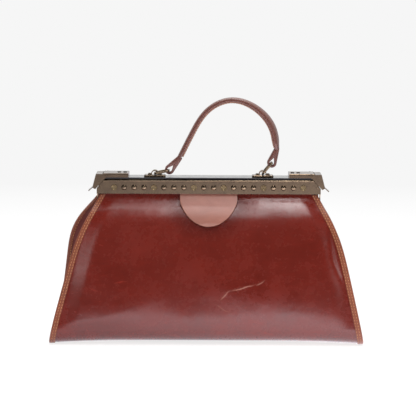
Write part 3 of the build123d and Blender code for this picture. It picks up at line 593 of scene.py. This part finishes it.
def nap_finish(name, colour):
    """Brushed suede split.  Short nap lies in soft clouds and has no shine."""
    material, add, shader, place = new_material(
        name, {"IOR": 1.45, "Sheen Weight": 0.35, "Sheen Roughness": 0.6})
    nap = add("ShaderNodeTexNoise", {"Vector": place, "Scale": 1 / (1.2 * MM), "Detail": 4.0})
    clouds = add("ShaderNodeTexNoise", {"Vector": place, "Scale": 1 / (25 * MM)})
    base = add("ShaderNodeMix", {
        0: add("ShaderNodeMapRange", {0: clouds, 1: 0.35, 2: 0.65}),
        6: shaded(colour, 0.8), 7: shaded(colour, 1.1)}, **COLOURS)
    base = add("ShaderNodeMix", {
        0: add("ShaderNodeMapRange", {0: nap, 1: 0.4, 2: 0.7, 4: 0.4}),
        6: base, 7: shaded(colour, 1.3)}, **COLOURS)
    rough = add("ShaderNodeMapRange", {0: nap, 1: 0.3, 2: 0.7, 3: 0.82, 4: 0.95})
    bump = add("ShaderNodeBump", {"Height": nap, "Strength": 0.4, "Distance": 0.0004})
    connect(shader, {"Base Color": base, "Roughness": rough, "Normal": bump})
    return material


def brass_finish(name, dark, rubbed, worn_share=0.3, roughness=0.24):
    """Stamped brass with an antique patina.  The patina is brown and uneven, and rubs
    through to warm bright metal in patches and fine scuffs."""
    material, add, shader, place = new_material(name, {"Metallic": 1.0})
    patches = add("ShaderNodeTexNoise", {"Vector": place, "Scale": 1 / (9 * MM),
                                         "Detail": 5.0, "Roughness": 0.65})
    scuffs = add("ShaderNodeTexNoise", {"Vector": place, "Scale": 1 / (1.4 * MM),
                                        "Detail": 4.0, "Roughness": 0.7})
    worn = add("ShaderNodeMath", {
        0: add("ShaderNodeMapRange", {0: patches, 1: 0.35, 2: 0.7, 4: worn_share}),
        1: add("ShaderNodeMapRange", {0: scuffs, 1: 0.5, 2: 0.8, 4: 0.2})}, operation="ADD")
    base = add("ShaderNodeMix", {0: worn, 6: dark, 7: rubbed}, **COLOURS)
    rough = add("ShaderNodeMapRange", {0: patches, 1: 0.3, 2: 0.7, 3: roughness + 0.04,
                                       4: roughness - 0.04})
    bump = add("ShaderNodeBump", {"Height": scuffs, "Strength": 0.07, "Distance": 0.0002})
    connect(shader, {"Base Color": base, "Roughness": rough, "Normal": bump})
    return material


def enamel_finish(name, colour):
    """Baked black enamel on steel.  It is smooth and glossy, with faint rub marks."""
    material, add, shader, place = new_material(
        name, {"IOR": 1.5, "Coat Weight": 0.3, "Coat Roughness": 0.1})
    rubs = add("ShaderNodeTexNoise", {"Vector": place, "Scale": 1 / (6 * MM), "Detail": 5.0})
    base = add("ShaderNodeMix", {
        0: add("ShaderNodeMapRange", {0: rubs, 1: 0.55, 2: 0.75, 4: 0.3}),
        6: colour, 7: linear("2A2622")}, **COLOURS)
    rough = add("ShaderNodeMapRange", {0: rubs, 1: 0.3, 2: 0.7, 3: 0.16, 4: 0.3})
    connect(shader, {"Base Color": base, "Roughness": rough})
    return material


def thread_finish(name, colour):
    """Waxed linen thread.  Its twist is too fine to show, so it is drawn twice as coarse."""
    material, add, shader, place = new_material(name, {"IOR": 1.5})
    twist = add("ShaderNodeTexNoise", {"Vector": place, "Scale": 1 / (0.6 * MM)})
    base = add("ShaderNodeMix", {
        0: add("ShaderNodeMapRange", {0: twist, 1: 0.35, 2: 0.65}),
        6: shaded(colour, 0.7), 7: shaded(colour, 1.25)}, **COLOURS)
    rough = add("ShaderNodeMapRange", {0: twist, 1: 0.3, 2: 0.7, 3: 0.5, 4: 0.7})
    bump = add("ShaderNodeBump", {"Height": twist, "Strength": 0.4, "Distance": 0.0002})
    connect(shader, {"Base Color": base, "Roughness": rough, "Normal": bump})
    return material


def finish_for(key):
    """The handbag's named material, made the first time that it is asked for."""
    leather = bpy.context.scene.handbag_leather
    metal = bpy.context.scene.handbag_metal
    recipes = {
        # The body leather's wear carries the painted shadow round the tab.
        "glazed body leather": (leather_finish, leather.body,
                                {"roughness": 0.27, "wear": 0.5, "coat": 0.0}),
        # The end panels take the body leather darkened to 0.8, a painted shade for the recess
        # that they fold into; their matt finish is their own.
        "matt end leather": (leather_finish, shaded(leather.body, 0.8),
                             {"roughness": 0.6, "coat": 0.0}),
        # The tab's paler colour is a painted sheen.
        "paler tab leather": (leather_finish, leather.tab, {"roughness": 0.45}),
        "tanned binding leather": (leather_finish, leather.binding,
                                   {"grain_mm": 0.9, "roughness": 0.5, "wear": 0.3}),
        "glazed handle leather": (leather_finish, leather.handle,
                                  {"grain_mm": 0.9, "roughness": 0.45}),
        "pale lining leather": (leather_finish, leather.handle_lining,
                                {"grain_mm": 0.8, "roughness": 0.6, "coat": 0.0}),
        "brushed suede lining": (nap_finish, leather.lining, {}),
        "waxed linen thread": (thread_finish, leather.thread, {}),
        "waxed brown thread": (thread_finish, shaded(leather.thread, 0.42), {}),
        "antiqued stamped brass": (brass_finish, metal.brass, {"rubbed": metal.rubbed}),
        "rubbed bent brass": (brass_finish, metal.brass, {
            "rubbed": metal.rubbed, "worn_share": 0.9, "roughness": 0.3}),
        "polished brass domes": (brass_finish, metal.brass, {
            "rubbed": metal.rubbed, "worn_share": 0.6, "roughness": 0.13}),
        "bare pressed brass": (brass_finish, linear("6E5F47"), {
            "rubbed": linear("9C8A68"), "worn_share": 0.6, "roughness": 0.2}),
        "drawn spring steel": (brass_finish, linear("6A6A6C"), {
            "rubbed": linear("A9A9AC"), "roughness": 0.25}),
        "baked black enamel": (enamel_finish, metal.enamel, {}),
    }
    make, colour, values = recipes[key]
    name = key.replace(" ", "_")
    return bpy.data.materials.get(name) or make(name, colour, **values)


# ---- the soft pieces ----
class HANDBAG_OT_body_leather(bpy.types.Operator):
    """Make the front and the rear of the leather body, each down to the middle of the base"""
    bl_idname = "handbag.body_leather"
    bl_label = "Body leather"

    def execute(self, context):
        thickness = context.scene.handbag_leather.thickness / MM
        for name, side in SIDES:
            def place(u, v, side=side):
                s = v * PROFILE_LENGTH
                across = 2 * u - 1
                across *= 1.35 - 0.35 * across ** 2
                x = across * half_length(profile_at(s)[1], side, across)
                return on_body(x, s, 0.0, side)
            body = laid_grid(f"{name}_body", 160, 120, place, flip=side < 0)
            thicken(body, thickness)
            give(body, finish_for("glazed body leather"), "body_leather", "body_wrap")
            open_with_jaw(body)
        return {"FINISHED"}


class HANDBAG_OT_lining(bpy.types.Operator):
    """Make the suede lining of the body and of the two folded ends"""
    bl_idname = "handbag.lining"
    bl_label = "Lining"

    def execute(self, context):
        start = profile_distance(FRAME_EDGE_Z - 0.5)
        margin = context.scene.handbag_leather.binding_width / MM + 4.0
        for name, side in SIDES:
            def place(u, v, side=side):
                s = start + v * (PROFILE_LENGTH - start)
                x = (2 * u - 1) * (half_length(profile_at(s)[1], side, u - 0.5) - margin)
                return on_body(x, s, -LINING_DEPTH, side)
            lining = laid_grid(f"{name}_body_lining", 60, 70, place, flip=side < 0)
            thicken(lining, LINING_THICKNESS, 0.2)
            give(lining, finish_for("brushed suede lining"), "suede_lining", "body_lining")
            open_with_jaw(lining)
        return {"FINISHED"}


class HANDBAG_OT_bindings(bpy.types.Operator):
    """Make the bindings folded over the body's two ends, with three rows of stitches each"""
    bl_idname = "handbag.bindings"
    bl_label = "Edge bindings"

    def execute(self, context):
        setting = context.scene.handbag_leather
        width = setting.binding_width / MM
        # Across the binding and out of the leather, from the face round the edge and inside.
        section = [(-width, 0.02), (-width, 0.8), (-width + 0.4, 1.15), (-width + 1.2, 0.85),
                   (-width + 2.0, 1.32), (-2.9, 1.36), (-1.7, 0.85), (-0.9, 1.12), (0.2, 1.2),
                   (0.9, 0.8), (1.2, 0.1), (1.25, -1.2), (1.0, -2.9), (0.3, -3.5), (-0.8, -3.6),
                   (-width, -3.6), (-width, -2.05), (0.0, -2.05), (0.0, 0.02)]
        start = profile_distance(BINDING_TOP_Z)
        stations = [start + n * (PROFILE_LENGTH - start) / 90 for n in range(91)]
        for name, side in SIDES:
            for end_name, end in ENDS:
                def edge_x(s, side=side, end=end):
                    return end * half_length(profile_at(s)[1], side, end)

                def place(point, s, side=side, end=end, edge_x=edge_x):
                    out = min(point[1], 1.15) if profile_at(s)[1] < 8 else point[1]
                    return on_body(edge_x(s), s, out, side, end * point[0])
                binding = swept(f"{name}_{end_name}_binding", section, stations, place)
                soften(binding, 0.25)
                give(binding, finish_for("tanned binding leather"), "binding_leather",
                     f"{end_name}_binding")
                open_with_jaw(binding)
                spots = []
                for across, out in ((-width + 1.2, 0.95), (-1.7, 0.95), (-3.0, -3.6)):
                    s = start + 2.0
                    while s < PROFILE_LENGTH - 1:
                        sunk = out - 0.3 * smooth((12 - profile_at(s)[1]) / 8)
                        centre = on_body(edge_x(s), s, sunk, side, end * across)
                        ahead = on_body(edge_x(s + 0.5), s + 0.5, sunk, side, end * across)
                        above = on_body(edge_x(s), s, sunk + 1, side, end * across)
                        spots.append((centre, ahead - centre, above - centre))
                        s += setting.stitch_pitch / MM
                row = stitch_row(f"{name}_{end_name}_binding_stitches", spots)
                give(row, finish_for("waxed linen thread"), "binding_leather")
                open_with_jaw(row)
        return {"FINISHED"}


class HANDBAG_OT_gussets(bpy.types.Operator):
    """Make the end panels that fold inward towards the frame, with their suede linings"""
    bl_idname = "handbag.gussets"
    bl_label = "Folded ends"

    def execute(self, context):
        start = profile_distance(BINDING_TOP_Z)
        stop = PROFILE_LENGTH + PROFILE[-1][1]
        for name, side in SIDES:
            for end_name, end in ENDS:
                def place(u, v, layer, side=side, end=end):
                    s = start + v * (stop - start)
                    y, z, angle = profile_at(s)
                    y += math.cos(angle) * GUSSET_INSET
                    height = z - math.sin(angle) * GUSSET_INSET
                    share = 1 - u
                    length, bulge_left, bulge_right, fold_in, lean = level_at(height)
                    bulge = bulge_left if end < 0 else bulge_right
                    rounding = 0.14
                    soft = ((math.hypot(share, rounding) - rounding)
                            / (math.hypot(1, rounding) - rounding))
                    edge = length + (bulge if side > 0 else 0.0) * share - GUSSET_SEAM
                    crumple = noise.noise(Vector((share * 3.0, height / 24, 5.1 + 3 * end)))
                    crumple *= 2.4 * share * (1 - share) * 4 * smooth(fold_in / 10)
                    x = edge - fold_in * (1 - soft) - layer + crumple
                    return Vector(((end * x - lean) * MM, side * share * -y * MM,
                                   height * MM))
                flip = (end > 0) == (side > 0)
                gusset = laid_grid(f"{name}_{end_name}_gusset", 28, 70,
                                   lambda u, v, place=place: place(u, v, 0.0), flip=flip)
                thicken(gusset, 1.9, 0.3)
                give(gusset, finish_for("matt end leather"), "body_leather",
                     f"{end_name}_gusset")
                open_with_jaw(gusset)
                lining = laid_grid(f"{name}_{end_name}_gusset_lining", 22, 50,
                                   lambda u, v, place=place: place(u, v * 0.99, LINING_DEPTH),
                                   flip=flip)
                thicken(lining, LINING_THICKNESS, 0.2)
                give(lining, finish_for("brushed suede lining"), "suede_lining",
                     f"{end_name}_gusset_lining")
                open_with_jaw(lining)
        return {"FINISHED"}


class HANDBAG_OT_front_tab(bpy.types.Operator):
    """Make the half-round tab that hangs from the frame on the front"""
    bl_idname = "handbag.front_tab"
    bl_label = "Front tab"

    def execute(self, context):
        half_width = context.scene.handbag_leather.tab_half_width / MM
        start = profile_distance(TAB_TOP_Z)
        bend = profile_distance(TAB_ROUND_Z)
        stop = profile_distance(TAB_FOOT_Z)

        def place(u, v):
            if v < 0.25:
                s = start + (bend - start) * v / 0.25
                width = half_width
            else:
                s = bend + (stop - bend) * math.sin((v - 0.25) / 0.75 * math.pi / 2)
                width = half_width * math.sqrt(max(0.0, 1 - ((s - bend) / (stop - bend)) ** 2))
            spot = on_body((2 * u - 1) * width, s, 0.2 + TAB_THICKNESS, -1)
            # Stiff leather: it hangs straight from the frame and clear of the body's waist.
            fall = min(1.0, max(0.0, (176.0 - spot.z / MM) / (176.0 - TAB_FOOT_Z)))
            spot.y = min(spot.y, -(TAB_HANG + TAB_HANG_FURTHER * fall) * MM)
            return spot
        tab = laid_grid("front_tab_leather", 44, 34, place, flip=True)
        thicken(tab, TAB_THICKNESS, 0.75)
        give(tab, finish_for("paler tab leather"), "body_leather", "front_tab")
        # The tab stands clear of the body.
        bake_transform(tab)
        return {"FINISHED"}


def handle_line():
    """The handle's middle line as a curve from 0 to 1."""
    route = np.array(HANDLE_ROUTE)
    knots = np.concatenate([[0], np.cumsum(np.linalg.norm(np.diff(route, axis=0), axis=1))])
    return natural_spline(knots / knots[-1], route)


HANDLE_LINE = handle_line()


def on_handle(share, across, out, twist=True):
    """A point beside the handle's middle line: across the strap and outward from it."""
    spot = HANDLE_LINE(share)
    way = HANDLE_LINE(share + 0.002) - HANDLE_LINE(share - 0.002)
    way /= np.linalg.norm(way)
    turn = math.radians(16.0) * smooth((share - 0.5) / 0.35) * smooth((1.02 - share) / 0.1)
    if twist:
        across, out = (across * math.cos(turn) - out * math.sin(turn),
                       across * math.sin(turn) + out * math.cos(turn))
    return Vector(((spot[0] - way[1] * out) * MM, across * MM, (spot[1] + way[0] * out) * MM))


def teardrop(radius, reach, above, below, count=20):
    """A drop's outline from its blunt tip, round a circle and back, in millimetres."""
    first, last = [math.acos(radius / math.hypot(reach, side)) + math.atan2(side, reach)
                   for side in (above, below)]
    return [(reach, above),
            *[(radius * math.cos(a), radius * math.sin(a))
              for a in np.linspace(first, 2 * math.pi - last, count)],
            (reach, -below)]


class HANDBAG_OT_handle(bpy.types.Operator):
    """Make the padded handle: its outer leather, the pale lining, the end loops and stitches"""
    bl_idname = "handbag.handle"
    bl_label = "Handle"

    def execute(self, context):
        setting = context.scene.handbag_leather
        shares = [0.004 + 0.992 * n / 96 for n in range(97)]
        crown = [(-8.5, -CORE_HALF), (-8.6, 0.2), (-8.3, 1.7), (-7.7, 2.35), (-6.9, 2.55),
                 (-5.6, 3.1), (-3.0, 3.45), (0.0, 3.55), (3.0, 3.45), (5.6, 3.1), (6.9, 2.55),
                 (7.7, 2.35), (8.3, 1.7), (8.6, 0.2), (8.5, -CORE_HALF)]

        def narrowed(share):
            end = min(share, 1 - share)
            return 0.76 + 0.24 * smooth(end / 0.05)

        def strap_place(point, share):
            return on_handle(share, point[0] * narrowed(share), point[1])
        strap = swept("handle_outer_leather", crown, shares, strap_place)
        soften(strap, 0.5)
        give(strap, finish_for("glazed handle leather"), "handle_leather", "handle_strap",
             "handle_core")
        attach(strap, "handle")
        inner = [(-7.9, -CORE_HALF - 0.03), (7.9, -CORE_HALF - 0.03), (7.9, -2.6), (7.0, -3.05),
                 (0.0, -3.1), (-7.0, -3.05), (-7.9, -2.6)]
        inner_shares = [0.02 + 0.96 * n / 90 for n in range(91)]
        lining = swept("handle_inner_leather", inner, inner_shares, strap_place)
        soften(lining, 0.35)
        give(lining, finish_for("pale lining leather"), "handle_leather", "handle_lining")
        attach(lining, "handle")
        spots = []
        for across, out in ((-6.7, 2.5), (6.7, 2.5), (-6.3, -3.0), (6.3, -3.0)):
            share = 0.03
            while share < 0.97:
                narrow = narrowed(share)
                centre = on_handle(share, across * narrow, out)
                ahead = on_handle(share + 0.004, across * narrow, out)
                above = on_handle(share, across * narrow, out * 1.2)
                spots.append((centre, ahead - centre, above - centre))
                share += setting.stitch_pitch / MM / 186
        row = stitch_row("handle_stitches", spots, thread_width=0.55)
        give(row, finish_for("waxed brown thread"), "handle_leather")
        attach(row, "handle")
        for end_name, share, rest in (("left", 0.006, 1.5), ("right", 0.994, 0.0)):
            self.end_loop(end_name, share, rest)
        return {"FINISHED"}

    def end_loop(self, end_name, share, rest):
        """The strap's end, doubled back round the ring's bar: a teardrop with an eye, and the
        cut end of the tail standing out a little."""
        bar = np.array(HANDLE_BARS[end_name])
        outer = np.array(on_handle(share, 0, 3.0, twist=False))[[0, 2]] / MM
        tail = np.array(on_handle(share, 0, -1.6, twist=False))[[0, 2]] / MM
        toward = (outer + tail) / 2 - bar
        reach = np.linalg.norm(toward)
        toward /= reach
        way = np.array([-toward[1], toward[0]])
        if np.dot(outer - tail, way) < 0:
            way = -way
        centre = bar + toward * rest
        outline = teardrop(5.6, reach - rest + 1.0, 2.3, 3.4)
        eye = teardrop(2.9, 6.5, 0.15, 0.15)
        section = [(-6, 0), (6, 0), (6, 1), (-6, 1)]

        def place(point, n):
            along, across = (outline if point[1] else eye)[n]
            spot = centre + toward * along + way * across
            return Vector((spot[0] * MM, point[0] * MM, spot[1] * MM))
        loop = swept(f"{end_name}_handle_loop", section, [*range(len(eye)), 0], place,
                     closed_ends=False)
        soften(loop, 0.45)
        give(loop, finish_for("glazed handle leather"), "handle_leather", "handle_strap")
        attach(loop, "handle")


class HANDBAG_OT_claw_springs(bpy.types.Operator):
    """Wind the torsion springs round the latch pins"""
    bl_idname = "handbag.claw_springs"
    bl_label = "Latch springs"

    def execute(self, context):
        half = SPRING_HALF_LENGTH
        steps = SPRING_TURNS * STEPS_IN_A_TURN
        pin_z = LATCH_PIN[1]
        low = pin_z - SPRING_RADIUS
        for end_name, end in ENDS:
            pin_x = end * LATCH_PIN[0]
            points = [(pin_x + end * SPRING_LEG, -half, low), (pin_x, -half, low)]
            for n in range(steps + 1):
                a = -math.pi / 2 - end * 2 * math.pi * n / STEPS_IN_A_TURN
                points.append((pin_x + SPRING_RADIUS * math.cos(a), half * (2 * n / steps - 1),
                               pin_z + SPRING_RADIUS * math.sin(a)))
            points += [(pin_x - end * SPRING_LEG, half, low)]
            spring = wire(f"{end_name}_torsion_spring", points, SPRING_WIRE / 2)
            give(spring, finish_for("drawn spring steel"), "spring_steel",
                 f"{end_name}_claw_spring")
            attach(spring, "rear_jaw")
        return {"FINISHED"}


class HANDBAG_OT_metal_finish(bpy.types.Operator):
    """Give the frame, studs, latches, rings and plates their finish"""
    bl_idname = "handbag.metal_finish"
    bl_label = "Metal finish"

    def execute(self, context):
        for name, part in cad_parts.items():
            if part.hide_render:
                continue
            if name == "top_plate":
                finish = "baked black enamel"
            elif "dome_studs" in name:
                finish = "polished brass domes"
            elif "ring_rivets" in name:
                finish = "bare pressed brass"
            elif name == "base_board":
                finish = "brushed suede lining"
            elif "ring" in name or "loop" in name:
                finish = "rubbed bent brass"
            else:
                finish = "antiqued stamped brass"
            part.data.materials.clear()
            part.data.materials.append(finish_for(finish))
        return {"FINISHED"}


class HANDBAG_OT_studio(bpy.types.Operator):
    """Set up the pale floor, the soft lamps, the surroundings and the camera"""
    bl_idname = "handbag.studio"
    bl_label = "Studio"

    def execute(self, context):
        self.floor()
        self.lamps(context.scene.handbag_studio)
        self.surroundings(context.scene)
        self.camera(context.scene)
        return {"FINISHED"}

    def floor(self):
        """A wide pale floor that keeps the bag's shadow, with a painted glow that only the bag's
        shine sees.
        """
        deselect_all()
        bpy.ops.mesh.primitive_plane_add(size=30)
        floor = bpy.context.object
        floor.name = "studio_floor"
        material, add, shader, place = new_material("matt_white_paper", {
            "Base Color": linear("F4F3F2"), "Roughness": 0.9, "Specular IOR Level": 0.1})
        rays = add("ShaderNodeLightPath").node.outputs
        # Far from the bag the paper is seen as bright as the surroundings, so that it has no
        # edge.
        far = add("ShaderNodeVectorMath", {0: place}, "Value", operation="LENGTH")
        seen_far = add("ShaderNodeMath", {
            0: add("ShaderNodeMapRange", {0: far, 1: 0.3, 2: 1.2, 3: 0.7}),
            1: rays["Is Camera Ray"]}, operation="MULTIPLY")
        glow = add("ShaderNodeEmission", {
            "Strength": add("ShaderNodeMapRange", {0: far, 1: 0.5, 2: 2.0, 3: 1.2}),
            "Color": linear(BACKGROUND)})
        seen = add("ShaderNodeMixShader", {0: seen_far, 1: shader.outputs[0], 2: glow})
        # Only the bag's shine sees the paper so: a painted reflection up to 4.6 times as bright
        # as white before the right half, which gives the pale haze low on the leather, and
        # dimmed beneath the bag as a painted shadow.
        flat = add("ShaderNodeMapping", {"Vector": place, "Scale": (1 / 3, 1, 0)})
        beside = add("ShaderNodeVectorMath", {0: flat}, "Value", operation="LENGTH")
        before = add("ShaderNodeVectorMath", {0: place, 1: (0.28, -0.55, 0)}, "Value",
                     operation="DISTANCE")
        lit = add("ShaderNodeMath", {
            0: add("ShaderNodeMapRange", {0: beside, 1: 0.03, 2: 0.06, 3: 0.4}),
            1: add("ShaderNodeMapRange", {0: before, 1: 0.32, 2: 0.75, 3: 4.6, 4: 0.9})},
            operation="MULTIPLY")
        bright = add("ShaderNodeEmission", {"Strength": lit, "Color": (1, 0.97, 1.04, 1)})
        shine = add("ShaderNodeMixShader", {0: rays["Is Glossy Ray"], 1: seen, 2: bright})
        connect(material.node_tree.nodes["Material Output"], {"Surface": shine})
        floor.data.materials.append(material)

    def lamps(self, studio):
        """A large overhead lamp, weaker lamps before the bag and on each side, and a softbox."""
        for name, place, size, power in (
                ("overhead_lamp", (0.0, 0.55, 1.5), 1.5, studio.key_power * 1.2),
                ("front_lamp", (-0.12, -0.85, 1.3), 0.3, studio.key_power * 0.38),
                ("spark_lamp", (0.0, -1.35, 1.25), 0.08, studio.key_power * 0.01),
                ("left_lamp", (-0.8, -1.34, 0.73), 0.5, studio.key_power * 0.18),
                ("right_lamp", (1.1, -1.2, 0.6), 0.5, studio.key_power * 0.28)):
            deselect_all()
            bpy.ops.object.light_add(type="AREA", location=place)
            lamp = bpy.context.object
            lamp.name = name
            lamp.data.shape = "DISK"
            lamp.data.size = size
            lamp.data.energy = power
            # The front lamp only gives soft shadows: the shine shows the other lamps.
            lamp.visible_glossy = name != "front_lamp"
            aim = Vector((0, 0, 0.12)) - Vector(place)
            lamp.rotation_euler = aim.to_track_quat("-Z", "Y").to_euler()
        # The long softbox over the right half draws the pale band under the frame there.
        bpy.ops.object.light_add(type="AREA", location=(0.17, -0.25, 1.4))
        softbox = bpy.context.object
        softbox.name = "softbox_lamp"
        softbox.data.shape = "ELLIPSE"
        softbox.data.size = 0.24
        softbox.data.size_y = 1.3
        softbox.data.energy = studio.key_power * 0.85

    def surroundings(self, scene):
        """Plain pale surroundings, white where the camera sees them."""
        world = bpy.data.worlds.new("pale_surroundings")
        world.use_nodes = True
        scene.world = world
        nodes = world.node_tree.nodes
        add = functools.partial(add_node, world.node_tree)
        rays = add("ShaderNodeLightPath").node.outputs
        shown = add("ShaderNodeBackground", {"Color": linear(BACKGROUND), "Strength": 1.0})
        # Shiny surfaces mirror a bright backdrop behind the bag and a dim room before it.
        place = add("ShaderNodeTexCoord", output="Generated")
        behind = add("ShaderNodeSeparateXYZ", {"Vector": place}, "Y")
        mirrored = add("ShaderNodeBackground", {
            "Strength": add("ShaderNodeMapRange", {0: behind, 1: -0.05, 2: 0.6, 3: 0.04}),
            "Color": (1, 1, 1, 1)})
        connect(nodes["Background"], {"Color": (1, 1, 1, 1), "Strength": 0.44})
        soft = add("ShaderNodeMixShader", {0: rays["Is Glossy Ray"],
                                           1: nodes["Background"].outputs[0], 2: mirrored})
        surface = add("ShaderNodeMixShader", {0: rays["Is Camera Ray"], 1: soft, 2: shown})
        connect(nodes["World Output"], {"Surface": surface})

    def camera(self, scene):
        """The photograph's view: level with a slight look down, through a long lens."""
        studio = scene.handbag_studio
        down = studio.camera_height
        place = Vector((0, -studio.camera_distance * math.cos(down),
                        0.12 + studio.camera_distance * math.sin(down)))
        bpy.ops.object.camera_add(location=place)
        camera = bpy.context.object
        camera.name = "photograph_view"
        roll = math.radians(0.25)
        ahead = Vector((0, math.cos(down), -math.sin(down)))
        right = Vector((1, 0, 0))
        up = right.cross(ahead)
        right, up = (right * math.cos(roll) + up * math.sin(roll),
                     up * math.cos(roll) - right * math.sin(roll))
        camera.rotation_euler = Matrix((right, up, -ahead)).transposed().to_euler()
        camera.data.sensor_width = 36.0
        camera.data.lens = studio.lens
        camera.data.shift_x = -0.5 / PHOTO_PIXELS
        camera.data.shift_y = 31.37 / PHOTO_PIXELS
        camera.data.clip_end = 50.0
        scene.camera = camera
        scene.view_settings.view_transform = "Standard"


OPERATORS = (HANDBAG_OT_body_leather, HANDBAG_OT_lining, HANDBAG_OT_bindings,
             HANDBAG_OT_gussets, HANDBAG_OT_front_tab, HANDBAG_OT_handle,
             HANDBAG_OT_claw_springs, HANDBAG_OT_metal_finish, HANDBAG_OT_studio)


class HANDBAG_PT_panel(bpy.types.Panel):
    """Lists the handbag's pieces and settings"""
    bl_idname = "HANDBAG_PT_panel"
    bl_label = "Handbag"
    bl_space_type = "VIEW_3D"
    bl_region_type = "UI"
    bl_category = "Handbag"

    def draw(self, context):
        for operator in OPERATORS:
            self.layout.operator(operator.bl_idname)
        for group in ("handbag_leather", "handbag_metal", "handbag_studio"):
            settings = getattr(context.scene, group)
            for name in settings.__annotations__:
                self.layout.prop(settings, name)


CLASSES = (HandbagLeather, HandbagMetal, HandbagStudio, *OPERATORS, HANDBAG_PT_panel)


def register():
    """Make the settings, operators and panel known."""
    for kind in CLASSES:
        bpy.utils.register_class(kind)
    bpy.types.Scene.handbag_leather = bpy.props.PointerProperty(type=HandbagLeather)
    bpy.types.Scene.handbag_metal = bpy.props.PointerProperty(type=HandbagMetal)
    bpy.types.Scene.handbag_studio = bpy.props.PointerProperty(type=HandbagStudio)


def unregister():
    """Forget the settings, operators and panel."""
    del bpy.types.Scene.handbag_leather
    del bpy.types.Scene.handbag_metal
    del bpy.types.Scene.handbag_studio
    for kind in reversed(CLASSES):
        bpy.utils.unregister_class(kind)


def main():
    """Make the whole handbag and its studio."""
    register()
    bpy.ops.handbag.body_leather()
    bpy.ops.handbag.lining()
    bpy.ops.handbag.bindings()
    bpy.ops.handbag.gussets()
    bpy.ops.handbag.front_tab()
    bpy.ops.handbag.handle()
    bpy.ops.handbag.claw_springs()
    bpy.ops.handbag.metal_finish()
    bpy.ops.handbag.studio()


if __name__ == "__main__":
    main()
